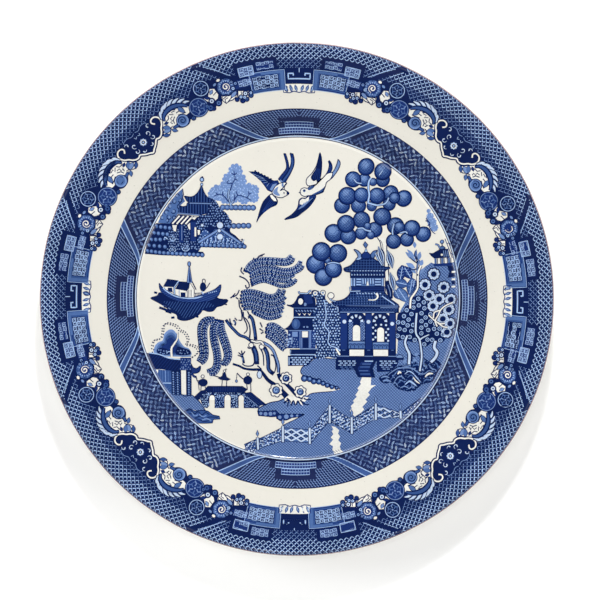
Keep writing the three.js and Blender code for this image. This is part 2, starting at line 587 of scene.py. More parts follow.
def polar_line(sheet, ink, points, width, lift=0, step=1.0):
    """A line through (angle, radius) points, following the plate round between them."""
    path = []
    for (a0, r0), (a1, r1) in zip(points, points[1:]):
        count = max(1, math.ceil(max(abs(a1 - a0) / step, abs(r1 - r0) / 1.2)))
        path += [polar(a0 + (a1 - a0) * i / count, r0 + (r1 - r0) * i / count) for i in range(count)]
    sheet.line(ink, path + [polar(*points[-1])], width, lift)


# ---------------------------------------------------------------- rim border
BORDER_TURN = 0.6
AXES = [BORDER_TURN + quarter * 90 for quarter in range(4)]
RIM_OUTER = 132.5
SCALE_COLUMNS = 276
SCALE_ROW = 1.34


def halves():
    """Each quarter's axis with each of its two mirrored sides."""
    return [(axis, side) for axis in AXES for side in (1, -1)]


def ground_edge(offset):
    """The radius at which the dark ground of the rim starts, by the angle from a quarter's axis."""
    stops = [(0, 118), (6, 118), (17, 116), (19, 119), (22, 117.5), (29, 115), (31, 117.5),
             (35, 120.5), (38, 119), (40.2, 116), (45, 117)]
    offset = abs(offset)
    for (a0, r0), (a1, r1) in zip(stops, stops[1:]):
        if offset <= a1:
            return r0 + (r1 - r0) * (offset - a0) / (a1 - a0)
    return stops[-1][1]


def quarter_offset(angle):
    """Degrees from the nearest quarter's axis."""
    return (angle - BORDER_TURN + 45) % 90 - 45


# Where the slanting bands meet the lip: degrees from a quarter's axis, and radius.
BAND_FOOT = 24.4, 131.0


def rim_ground():
    """The dark ground along the lip, covered in rows of little pointed scales."""
    sheet = Print("rim_ground", "rim_border_print", 0)
    polar_strip(sheet, "navy", 0, 360, lambda a: ground_edge(quarter_offset(a)), LIP_START, rows=3, step=0.75)
    polar_strip(sheet, "navy", 0, 360, LIP_START, RIM_OUTER, rows=6, step=0.75)
    half_width = 360 / SCALE_COLUMNS * 0.36
    rows = int((RIM_OUTER - 110) / SCALE_ROW)
    for row in range(rows):
        radius = RIM_OUTER - 0.75 - row * SCALE_ROW
        for column in range(SCALE_COLUMNS):
            angle = (column + 0.5 * (row % 2)) * 360 / SCALE_COLUMNS
            offset = quarter_offset(angle)
            if radius < ground_edge(offset) + 0.6 or (abs(offset) > 39.6 and radius < 118.2):
                continue
            if radius > LIP_START - 1 and abs(abs(offset) - BAND_FOOT[0]) < 0.9:
                continue
            tips = [polar(angle - half_width, radius + 0.55), polar(angle, radius - 0.42),
                    polar(angle + half_width, radius + 0.55)]
            # Near the lip the marks have more points, so that they bend over it.
            parts = 4 if radius > LIP_START - 1 else 1
            path = [mix(a, b, i / parts) for a, b in zip(tips, tips[1:]) for i in range(parts)] + tips[-1:]
            full = 0.3 if radius > 125 else 0.19
            sheet.line("pale" if radius > 124 else "mist", path, lambda t: full * (1 + t), 1)
    sheet.build()


def fret(sheet, ink, axis, side, start, end, inner, outer, cell, width, lift):
    """Square spirals in a polar rectangle, each half turned from the one before."""
    columns = max(1, round(math.radians(end - start) * (inner + outer) / 2 / cell))
    rows = max(1, round((outer - inner) / cell))
    winding = [(0.08, 0.05), (0.08, 0.92), (0.92, 0.92), (0.92, 0.22), (0.36, 0.22), (0.36, 0.6), (0.64, 0.6)]
    for row in range(rows):
        for column in range(columns):
            turned = (row + column) % 2
            points = []
            for u, v in winding:
                u, v = (1 - u, 1 - v) if turned else (u, v)
                offset = start + (end - start) * (column + u) / columns
                points.append((axis + side * offset, inner + (outer - inner) * (row + v) / rows))
            polar_line(sheet, ink, points, width, lift)


def box_outline(sheet, ink, axis, side, start, end, inner, outer, width, lift):
    """The outline of a polar rectangle."""
    a, b = axis + side * start, axis + side * end
    polar_line(sheet, ink, [(a, inner), (a, outer), (b, outer), (b, inner), (a, inner)], width, lift)


def key_panels():
    """The stepped dark frames on each quarter's axis, with their key-fret boxes and panels."""
    sheet = Print("rim_key_panels", "rim_border_print", 3)
    for axis in AXES:
        polar_strip(sheet, "navy", axis - 6.6, axis + 6.6, 111.3, 119.9, 0, rows=2)
        polar_strip(sheet, "white", axis - 4.3, axis + 4.3, 107.0, 111.4, 1)
        polar_line(sheet, "cobalt", [(axis - 4.3, 111.3), (axis - 4.3, 107.2), (axis - 2.6, 106.8),
                                     (axis - 1.4, 107.6), (axis, 106.9), (axis + 1.4, 107.6),
                                     (axis + 2.6, 106.8), (axis + 4.3, 107.2), (axis + 4.3, 111.3)], 0.5, 2)
        hook = [(1.5, 115.7), (1.5, 116.9), (2.8, 116.9), (2.8, 114.1)]
        cup = [(axis - a, r) for a, r in hook] + [(axis + a, r) for a, r in hook[::-1]]
        polar_line(sheet, "pale", cup, 0.7, 1)
        polar_line(sheet, "white", [(axis, 117.4), (axis, 119.8)], 0.4, 1)
    for axis, side in halves():
        def block(ink, start, end, inner, outer, lift, rows=1):
            polar_strip(sheet, ink, axis + side * start, axis + side * end, inner, outer, lift, rows=rows)
        block("navy", 5.4, 16.0, 117.0, 126.0, 0, 3)
        block("navy", 12.0, 17.0, 108.6, 113.2, 0, 2)
        block("cobalt", 12.0, 16.8, 113.0, 117.2, 1)
        block("blue", 3.7, 12.7, 108.4, 119.0, 1, 3)
        for i in range(8):
            block("cobalt", 5.2, 12.7, 108.7 + i * 1.25, 109.2 + i * 1.25, 2)
        block("mid", 4.5, 9.7, 117.4, 118.5, 2)
        block("mid", 4.0, 4.8, 108.8, 118.7, 2, 3)
        block("navy", 5.3, 12.2, 110.0, 117.0, 2, 2)
        fret(sheet, "pale", axis, side, 5.5, 12.0, 110.2, 116.8, 2.1, 0.36, 3)
        box_outline(sheet, "pale", axis, side, 3.7, 12.7, 108.4, 119.0, 0.25, 3)
        for start, end, inner, outer in ((11.4, 15.0, 118.4, 123.0), (6.2, 10.6, 120.0, 124.4),
                                         (12.2, 15.9, 113.2, 117.0)):
            block("cobalt", start, end, inner, outer, 2)
            fret(sheet, "pale", axis, side, start + 0.15, end - 0.15, inner + 0.2, outer - 0.2, 2.1, 0.3, 3)
        box_outline(sheet, "pale", axis, side, 11.4, 15.0, 118.4, 123.0, 0.4, 4)
        for i in range(3):
            petal = Spot(axis, 0.9 + i * 1.35, 109.2, side)
            leaf(sheet, petal, (-0.7, -1.9), (0.5, 1.9), 1.9, ("navy", "blue"), "pale")
    sheet.build()


def diagonal_bands():
    """The dark slanting bands between the key panels and the lip, with a fine light edge."""
    sheet = Print("rim_slant_bands", "rim_border_print", 2)
    for axis, side in halves():
        ends = [(axis + side * BAND_FOOT[0], BAND_FOOT[1]), (axis + side * 17.4, 118.6),
                (axis + side * 15.2, 117.9)]
        polar_line(sheet, "navy", ends, 2.3, 0)
        light = [(axis + side * 22.6, 129.7), (axis + side * 16.2, 119.0)]
        polar_line(sheet, "pale", light, 0.3, 1)
    sheet.build()


def leaf(sheet, spot, start, end, width, inks=("navy", "blue"), vein="white"):
    """A pointed leaf from start to end, outlined, with a light vein."""
    outline, fill = inks
    path = [mix(start, end, i / 6) for i in range(7)]
    sheet.line(outline, spot.all(path), lambda t: width * 1.35 * math.sin(math.pi * min(0.06 + t * 0.94,
        1)), 1)
    sheet.line(fill, spot.all(path), lambda t: width * 0.85 * math.sin(math.pi * t), 2)
    sheet.line(vein, spot.all(path[1:5]), width * 0.14, 3)


def garland_place(axis, side):
    """The garland is drawn once, where it hangs at the upper right. This gives the map that
    turns or mirrors its points into one of the other seven places."""
    def place(points):
        placed = []
        for x, y in points:
            offset = AXES[1] - math.degrees(math.atan2(x, y))
            placed.append(polar(axis + side * offset, math.hypot(x, y)))
        return placed
    return place


def shell(sheet, place, centre, radius):
    """The ringed snail shell next to each key panel."""
    sheet.area("navy", place(circle(centre, radius + 0.4, 28)), 2)
    sheet.area("blue", place(circle(centre, radius, 28)), 3)
    sheet.line("mist", place(circle(centre, radius * 0.78, 24)), 0.3, 4, True)
    for i in range(16):
        a = 2 * math.pi * i / 16
        tick = [(centre[0] + math.cos(a) * r, centre[1] + math.sin(a) * r) for r in (radius * 0.62,
            radius * 0.76)]
        sheet.line("pale", place(tick), 0.34, 4)
        outer = (centre[0] + math.cos(a) * radius * 0.89, centre[1] + math.sin(a) * radius * 0.89)
        sheet.area("wash" if i % 2 else "navy", place(circle(outer, 0.32, 7)), 4)
    sheet.area("cobalt", place(circle(centre, radius * 0.58, 22)), 4)
    sheet.line("white", place(spiral(centre, radius * 0.5, 200, 1.5, 22, 0.3)), lambda t: 0.3 + 0.5 * t, 5)


def medallion(sheet, place, centre, radius, ink, ring):
    """A round fruit: a dark disc in a light ring, with a faceted middle."""
    for shade, size, lift in (("navy", radius + 0.45, 2), (ring, radius, 3), (ink, radius - 0.38, 4)):
        sheet.area(shade, place(circle(centre, size, 30)), lift)
    sheet.line("mid", place(circle(centre, radius * 0.68, 6)), 0.32, 5, True)
    for i in range(6):
        a = math.pi * i / 3
        ends = [(centre[0] + math.cos(a + lean) * r, centre[1] + math.sin(a + lean) * r)
                for r, lean in ((radius * 0.24, 0), (radius * 0.5, 0.35), (radius * 0.8, 0))]
        sheet.line("wash" if i % 2 else "mid", place(ends), radius * 0.12, 5)
    sheet.area("wash", place(circle(centre, 0.5, 8)), 5)


def acanthus(sheet, place):
    """A white leaf arching over from a coil, with a dark rib and an edge of curled teeth."""
    ground = curve([(91.6, 69.4), (94.0, 68.0), (97.6, 67.4), (100.0, 64.0), (100.6, 60.0), (100.2, 56.6),
                    (97.4, 55.4),
                    (95.4, 57.0), (94.6, 60.2), (92.8, 62.2), (90.2, 62.4), (89.6, 64.8), (91.8, 66.6)], 3,
                    True)
    sheet.area("white", place(ground), 1)
    teeth = (((93.6, 69.2), (97.4, 70.7)), ((95.6, 69.0), (100.6, 68.9)), ((97.6, 68.0), (102.5, 66.8)),
             ((99.2, 66.2), (103.9, 64.0)),
             ((100.2, 63.8), (104.3, 61.0)), ((100.8, 61.2), (103.9, 57.8)), ((100.8, 58.6), (102.6, 55.4)))
    for base, tip in teeth:
        bow = (mix(base, tip, 0.5)[0] + 0.3, mix(base, tip, 0.5)[1] + 0.7)
        sheet.line("navy", place(curve([base, bow, tip], 4)), lambda t: 3.2 * (1 - t) + 0.5, 2)
        sheet.line("frost", place(curve([base, bow, mix(base, tip, 0.92)], 4)),
                   lambda t: 2.2 * (1 - t) + 0.2, 3)
        sheet.line("mid", place([base, mix(base, tip, 0.55)]), 0.32, 4)
    rib = curve([(92.0, 68.4), (94.2, 68.9), (96.8, 67.7), (99.0, 65.2), (100.2, 61.8), (100.3, 58.4),
                 (99.6, 56.4)], 5)
    sheet.line("navy", place(rib), lambda t: 1.2 + 2.0 * math.sin(math.pi * t), 5)
    sheet.line("blue", place(rib), lambda t: 0.3 + 1.3 * math.sin(math.pi * t), 6)
    for points in (
        [(90.6, 64.2), (91.4, 65.3), (92.2, 64.2), (93.2, 65.4), (94.4, 64.4)],
        [(90.8, 63.2), (92.4, 63.9), (94.4, 63.2)],
        [(95.4, 66.0), (95.4, 63.8), (96.6, 64.9), (97.4, 63.2)],
        [(96.2, 62.4), (97.2, 61.2), (97.0, 59.4)], [(91.8, 67.6), (93.2, 66.3), (95.0, 66.6)],
        [(97.8, 65.0), (98.0, 62.8)], [(95.2, 61.4), (95.8, 59.4), (96.6, 57.4)],
    ):
        sheet.line("navy", place(points), 0.5, 3)
    leaf_blade(sheet, place, (96.4, 57.6), (99.4, 62.0), 2.0, "mid")
    for shade, size, lift in (("navy", 3.5, 3), ("mist", 3.05, 4)):
        sheet.area(shade, place(circle((92.3, 59.0), size, 26)), lift)
    sheet.area("mid", place(circle((92.5, 59.2), 2.4, 24)), 5)
    sheet.line("navy", place(spiral((92.4, 59.2), 2.3, 120, -1.5, 24, 0.2)), 0.5, 6)


def leaf_blade(sheet, place, start, end, width, fill, lift=4):
    """A pointed leaf with a dark outline."""
    path = [mix(start, end, i / 7) for i in range(8)]
    sheet.line("navy", place(path), lambda t: (width + 0.7) * math.sin(math.pi * min(max(t, 0.05), 0.95)),
               lift)
    sheet.line(fill, place(path[1:-1]), lambda t: width * math.sin(math.pi * (0.14 + 0.72 * t)), lift + 1)


def rim_garland():
    """The swirls, flowers, fruit and leaves that hang between key panels and corner scrolls."""
    sheet = Print("rim_garland", "rim_border_print", 5)
    ground = curve([(92.4, 70.2), (90.0, 66.0), (88.9, 62.6), (88.6, 58.8), (90.6, 55.6), (93.6, 54.4),
                    (94.0, 50.6), (96.0, 47.2),
                    (98.0, 45.4), (98.0, 42.8), (100.2, 41.2), (101.2, 38.6), (105.0, 38.8), (105.2, 35.6),
                    (106.6, 32.4), (108.2, 31.0)], 3)
    ground += [(108.4, 22.6), (113.0, 22.6), (115.6, 31.0), (115.6, 36.0), (114.2, 41.0), (113.0, 46.0),
               (113.6, 50.0), (109.4, 54.6),
               (104.4, 56.0), (103.4, 60.0), (101.5, 66.0), (97.5, 70.2)]
    whites = (
        [(84.7, 69.0), (91.8, 69.4), (92.2, 66.4), (90.0, 64.2), (88.0, 65.2), (85.6, 65.4), (84.4, 67.0)],
        [(103.4, 48.4), (105.2, 46.0), (108.8, 45.2), (109.0, 42.6), (105.8, 40.4), (103.6, 40.8),
         (102.2, 42.4), (100.8, 44.2), (102.0, 46.2)],
        [(101.2, 36.5), (103.0, 38.8), (105.0, 38.4), (105.2, 34.8), (108.2, 30.8), (104.4, 31.6),
         (103.0, 33.2), (102.4, 35.0)],
        [(104.2, 30.4), (107.8, 30.4), (107.8, 24.6), (106.2, 23.2), (104.6, 24.8), (103.4, 27.2)],
    )
    blades = (
        ((84.5, 69.6), (84.8, 65.4), 1.5, "blue"), ((86.0, 69.2), (88.2, 64.8), 2.0, "wash"),
        ((88.8, 69.6), (88.4, 65.0), 2.1, "mid"),
        ((87.6, 64.9), (86.9, 61.4), 1.5, "mid"), ((88.5, 64.2), (90.0, 60.6), 1.2, "blue"),
        ((104.0, 48.0), (104.0, 44.6), 1.2, "cobalt"),
        ((105.6, 45.0), (108.4, 43.6), 1.3, "mist"), ((104.2, 34.2), (107.8, 31.0), 1.7, "wash"),
        ((90.4, 68.8), (91.4, 66.2), 1.0, "cobalt"),
        ((113.8, 39.6), (112.6, 41.8), 1.4, "white"), ((110.0, 43.4), (111.8, 41.6), 1.2, "mist"),
    )
    lobes = ((99.0, 44.6, 1.7, "blue"), (98.6, 43.0, 1.1, "cobalt"), (101.4, 40.4, 1.5, "mid"),
             (99.8, 46.4, 1.0, "mid"), (93.6, 53.4, 1.1, "blue"),
             (103.2, 30.9, 1.0, "cobalt"), (102.7, 28.0, 1.2, "cobalt"), (103.4, 25.9, 1.1, "blue"),
             (105.4, 23.7, 1.1, "blue"), (104.6, 28.9, 1.0, "pale"),
             (104.4, 27.0, 1.0, "pale"), (106.4, 26.6, 1.3, "frost"), (106.8, 23.8, 0.9, "pale"),
             (102.4, 44.0, 1.5, "frost"), (109.0, 33.0, 1.1, "pale"),
             (111.6, 31.8, 1.0, "mist"), (112.4, 33.8, 0.8, "wash"))
    for axis, side in halves():
        place = garland_place(axis, side)
        sheet.area("navy", place(ground), -1)
        for shape in whites:
            outlined(sheet, "white", place(shape), 0.5, 0)
        for start, end, width, fill in blades:
            leaf_blade(sheet, place, start, end, width, fill)
        for x, y, radius, fill in lobes:
            sheet.area("navy", place(circle((x, y), radius + 0.3, 14)), 4)
            sheet.area(fill, place(circle((x, y), radius * 0.72, 12)), 5)
            sheet.area("navy", place(circle((x, y), radius * 0.3, 8)), 6)
        for points in ([(105.4, 43.2), (107.4, 41.4)], [(103.0, 41.6), (103.2, 38.6), (104.8, 36.4)],
                       [(101.6, 36.6), (103.2, 37.2), (104.2, 35.6)],
                       [(102.0, 35.6), (103.8, 34.2), (105.0, 32.6)],
                       [(104.6, 30.0), (105.6, 28.6), (107.4, 28.8)],
                       [(105.0, 25.0), (106.2, 25.4), (107.6, 24.8)]):
            sheet.line("navy", place(points), 0.45, 3)
        shell(sheet, place, (109.8, 36.8), 4.4)
        medallion(sheet, place, (109.0, 49.6), 4.0, "navy", "pale")
        medallion(sheet, place, (99.2, 50.8), 4.8, "cobalt", "wash")
        acanthus(sheet, place)
    sheet.build()


def corner_scrolls():
    """The dark lobed cartouches between quarters, drawn round with a white scrolled line."""
    sheet = Print("rim_corner_scrolls", "rim_border_print", 4)
    for axis in AXES:
        spot = Spot(axis, 45, 113.0)
        half = [(11.0, 3.0), (10.0, 4.5), (10.8, 5.9), (12.9, 6.0), (14.4, 4.5), (14.5, 2.4), (13.3, 0.5),
                (11.7, -0.7),
                (10.4, -2.3), (9.0, -3.3), (7.3, -3.6), (5.8, -3.1), (3.6, -4.8), (1.4, -6.0)]
        outline = curve([(-x, y) for x, y in half] + [(0, -6.9)] + half[::-1], 4)
        body = curve([(-x, y) for x, y in half[3:]] + [(0, -6.9)] + half[:2:-1], 4) + [(9.0, 7.6), (0, 8.2),
            (-9.0, 7.6)]
        sheet.area("navy", spot.all(body), 0)
        sheet.line("navy", spot.all(outline), 2.1, 0)
        sheet.line("white", spot.all(outline), 0.76, 1)
        for side in (1, -1):
            crest = [(side * x, y) for x, y in ((7.8, 5.8), (7.6, 7.2), (4.8, 7.6), (2.4, 6.6), (0.4, 7.2))]
            sheet.line("wash", spot.all(curve(crest, 4)), 0.3, 1)
            for centre, radius, start, turns in (((4.9, 2.2), 1.4, -100, 0.8), ((5.6, -0.9), 1.3, 160, 0.75),
                                                 ((7.6, 4.9), 1.2, 30, 0.6), ((2.6, -3.0), 1.1, 200, 0.5)):
                curl = [(side * x, y) for x, y in spiral(centre, radius, start, turns, 10, 0.5)]
                sheet.line("frost", spot.all(curl), lambda t: 0.2 + 0.4 * t, 1)
            twig = [(side * x, y) for x, y in ((0.4, 5.0), (1.4, 4.2), (1.8, 5.4))]
            sheet.line("white", spot.all(twig), 0.3, 1)
        sheet.dot("white", spot(0, 0.5), 1.6, 1, 20)
        for i in range(8):
            a = math.pi * i / 4
            sheet.dot("white", spot(math.cos(a) * 1.5, 0.5 + math.sin(a) * 1.5), 0.45, 1, 8)
        sheet.dot("navy", spot(0, 0.5), 0.95, 2, 16)
        sheet.dot("white", spot(0, 0.5), 0.45, 3, 10)
    sheet.build()


# ---------------------------------------------------------------- wall border
WALL_INNER = 84.3
WALL_OUTER = 98.6


def lens_edge(radius, gap=0.0):
    """Degrees from a quarter's axis to the slanting band that closes its lens panel."""
    share = max(0.0, (radius - WALL_INNER) / (WALL_OUTER - WALL_INNER))
    return 13.2 + 10.9 * share ** 0.72 - gap


def wall_ground():
    """The wall's blue ground, its outer edge line, and a darker band along its inner edge that is painted
    shade in the hollow.
    """
    sheet = Print("wall_ground", "wall_border_print", 0)
    polar_strip(sheet, "navy", 0, 360, WALL_INNER, WALL_OUTER, 0, 0.75, 16)
    polar_strip(sheet, "navy", 0, 360, WALL_OUTER - 0.5, WALL_OUTER, 1, 0.75)
    # The darkest band along the inner edge, where the wall bends down into the hollow, is painted shade.
    polar_strip(sheet, "midnight", 0, 360, WALL_INNER, WALL_INNER + 1.6, 1, 0.75, 3)
    sheet.build()


def lens_panels():
    """The lens-shaped panels on the quarters' axes, with their slanting bands and stepped frames."""
    sheet = Print("wall_lens_panels", "wall_border_print", 2)
    radii = [WALL_INNER + (WALL_OUTER - WALL_INNER) * i / 14 for i in range(15)]
    for axis, side in halves():
        outer = [polar(axis + side * lens_edge(r), r) for r in radii]
        inner = [polar(axis + side * lens_edge(r, 2.3), r) for r in radii]
        sheet.strip("blue", outer, inner, 0, 2)
        sheet.line("pale", outer, 0.45, 1)
        sheet.line("pale", inner, 0.45, 1)
        for row in range(11):
            radius = WALL_OUTER - 1.1 - row * 1.15
            edge = lens_edge(radius, 3.1)
            for column in range(26):
                offset = 0.5 + column * 0.92 + 0.46 * (row % 2)
                if offset > edge:
                    break
                lean = 0.30 if column % 2 else 0.34
                tips = [polar(axis + side * (offset - lean), radius - 0.42),
                        polar(axis + side * (offset + lean), radius + 0.42)]
                sheet.line("mist", tips, 0.38, 0)
    for axis in AXES:
        frame_steps = [(8.9, 85.2, 88.9), (6.6, 88.9, 94.2)]
        for half, low, high in frame_steps:
            polar_strip(sheet, "navy", axis - half, axis + half, low, high, 1, rows=6)
        for half, low, high in ((6.9, 85.6, 88.5), (4.6, 88.7, 91.6)):
            polar_strip(sheet, "cobalt", axis - half, axis + half, low, high, 2, rows=4)
            columns = round(half * 2 / 0.92)
            for column in range(columns + 1):
                a = axis - half + 2 * half * column / columns
                polar_line(sheet, "mist", [(a, low), (a, high)], 0.3, 3)
            for row in range(3):
                radius = low + (high - low) * row / 2
                polar_line(sheet, "pale", [(axis - half, radius), (axis + half, radius)], 0.3, 4, 0.5)
    sheet.build()


def basket_weave():
    """Short light leaves on the wall between the lens panels, leaning by turns one way and the
    other, each with a dark vein and a dimmer leaf along both its sides."""
    sheet = Print("wall_weave", "wall_border_print", 1)
    dice = random.Random(11)
    columns, rows, row_step = 188, 9, 1.48
    for row in range(rows):
        radius = WALL_OUTER - 1.3 - row * row_step
        # Rows nearer the hollow take dimmer inks as painted shade: the light leaves from the fifth row in,
        # the side leaves from the sixth.
        bright = ("frost", "pale", "mist", "wash") if row < 4 else ("pale", "mist", "wash", "mid")
        dim = ("mid", "blue", "cobalt") if row < 5 else ("blue", "cobalt")
        for column in range(columns):
            angle = (column + 0.5 * (row % 2)) * 360 / columns
            if abs(quarter_offset(angle)) < lens_edge(radius) + 1.0:
                continue
            spot = Spot(angle, 0, radius)
            lean = math.radians(45 if (row + column) % 2 else -45) + dice.uniform(-0.5, 0.5)
            for k in (-1, 0, 1):
                reach = 0.8 if k else dice.uniform(1.0, 1.3)
                full = dice.uniform(0.14, 0.28) if k else dice.uniform(0.5, 0.9)
                middle = (-math.sin(lean) * k * 0.68, math.cos(lean) * k * 0.68)
                path = [
                    (middle[0] + math.cos(lean) * reach * t, middle[1] + math.sin(lean) * reach * t)
                    for t in (-1, -0.5, 0, 0.5, 1)
                ]
                ink = dice.choice(dim if k else bright)
                sheet.line(ink, spot.all(path), lambda t: 0.08 + full * math.sin(math.pi * t), 0)
                if not k:
                    sheet.line("navy", spot.all(path[1:-1]), 0.2, 2)
    sheet.build()


def ring_line():
    """The thin line round the scene, and the pale ring between it and the wall border."""
    sheet = Print("ring_line", "scene_ring_line", 0)
    polar_strip(sheet, "navy", 0, 360, SCENE_EDGE, SCENE_EDGE + 0.4, 0, 0.75)
    polar_strip(sheet, "frost", 0, 360, SCENE_EDGE + 0.4, WALL_INNER, 0, 0.75)
    sheet.build()


def lip_line():
    """The thin warm line along the lip."""
    ring = [raised(p, GLAZE + 0.02) for p in LIP[3:6]]
    verts = [
        (r * math.cos(a), r * math.sin(a), z)
        for r, z, _ in ring for a in (2 * math.pi * i / TURN_STEPS for i in range(TURN_STEPS))
    ]
    faces = [
        [row * TURN_STEPS + i, row * TURN_STEPS + (i + 1) % TURN_STEPS,
         (row + 1) * TURN_STEPS + (i + 1) % TURN_STEPS, (row + 1) * TURN_STEPS + i]
        for row in range(len(ring) - 1) for i in range(TURN_STEPS)
    ]
    piece = add_piece("lip_edge_line_smooth", verts, [f[::-1] for f in faces], lip_material(),
                      "lip_edge_line")
    piece.data.shade_smooth()


# ---------------------------------------------------------------- ways of filling a shape
def inside(outline, x, y):
    """Whether a point lies within the outline."""
    hit = False
    for (x0, y0), (x1, y1) in zip(outline, outline[1:] + outline[:1]):
        if (y0 > y) != (y1 > y) and x < x0 + (x1 - x0) * (y - y0) / (y1 - y0):
            hit = not hit
    return hit


def hatch(sheet, ink, outline, angle, pitch, width, lift=1):
    """Parallel lines at this many degrees from +x, cut off at the outline."""
    cosine, sine = math.cos(math.radians(angle)), math.sin(math.radians(angle))
    turned = [(x * cosine + y * sine, y * cosine - x * sine) for x, y in outline]
    levels = [p[1] for p in turned]
    for i in range(math.floor(min(levels) / pitch) + 1, math.ceil(max(levels) / pitch)):
        level = (i + 0.013) * pitch
        cuts = sorted(
            x0 + (x1 - x0) * (level - y0) / (y1 - y0)
            for (x0, y0), (x1, y1) in zip(turned, turned[1:] + turned[:1]) if (y0 > level) != (y1 > level)
        )
        for ends in zip(cuts[::2], cuts[1::2]):
            start, end = [(x * cosine - level * sine, x * sine + level * cosine) for x in ends]
            off_floor = max(math.hypot(*start), math.hypot(*end)) > WELL_RADIUS
            pieces = math.ceil(math.dist(start, end) / LARGEST_FLAT) if off_floor else 1
            sheet.line(ink, [mix(start, end, k / pieces) for k in range(pieces + 1)], width, lift)


def scatter(sheet, ink, outline, pitch, radius, lift=1, wobble=0.25, sides=7):
    """Dots on a staggered grid within the outline, each a little out of place."""
    dice = random.Random(len(outline) + round(pitch * 100))
    xs, ys = [p[0] for p in outline], [p[1] for p in outline]
    for row in range(math.ceil((max(ys) - min(ys)) / pitch)):
        for column in range(math.ceil((max(xs) - min(xs)) / pitch) + 1):
            x = min(xs) + (column + 0.5 * (row % 2) + dice.uniform(-wobble, wobble)) * pitch
            y = min(ys) + (row + 0.5 + dice.uniform(-wobble, wobble)) * pitch
            if inside(outline, x, y):
                sheet.dot(ink, (x, y), radius * dice.uniform(0.75, 1.2), lift, sides)


def outlined(sheet, fill, points, width=0.4, lift=0, edge="navy"):
    """A filled shape with a drawn outline."""
    sheet.area(fill, points, lift)
    sheet.line(edge, points, width, lift + 1, True)


def cased(sheet, points, width, fill="white", edge="navy", border=0.35, lift=1):
    """A light line with a dark line along each side."""
    def wider(share):
        return (width(share) if callable(width) else width) + 2 * border
    sheet.line(edge, points, wider, lift)
    sheet.line(fill, points, width, lift + 1)


def beads(sheet, start, end, count, radius, lift=0, fill="mid", light="mist"):
    """A row of little round bushes."""
    for i in range(count):
        x, y = mix(start, end, i / max(count - 1, 1))
        sheet.dot("navy", (x, y), radius, lift, 14)
        sheet.dot(fill, (x, y), radius - 0.34, lift + 1, 12)
        sheet.dot(light, (x - 0.1 * radius, y + 0.14 * radius), radius * 0.42, lift + 2, 10)


def box(x0, x1, y0, y1):
    """A rectangle's corners."""
    return [(x0, y0), (x1, y0), (x1, y1), (x0, y1)]


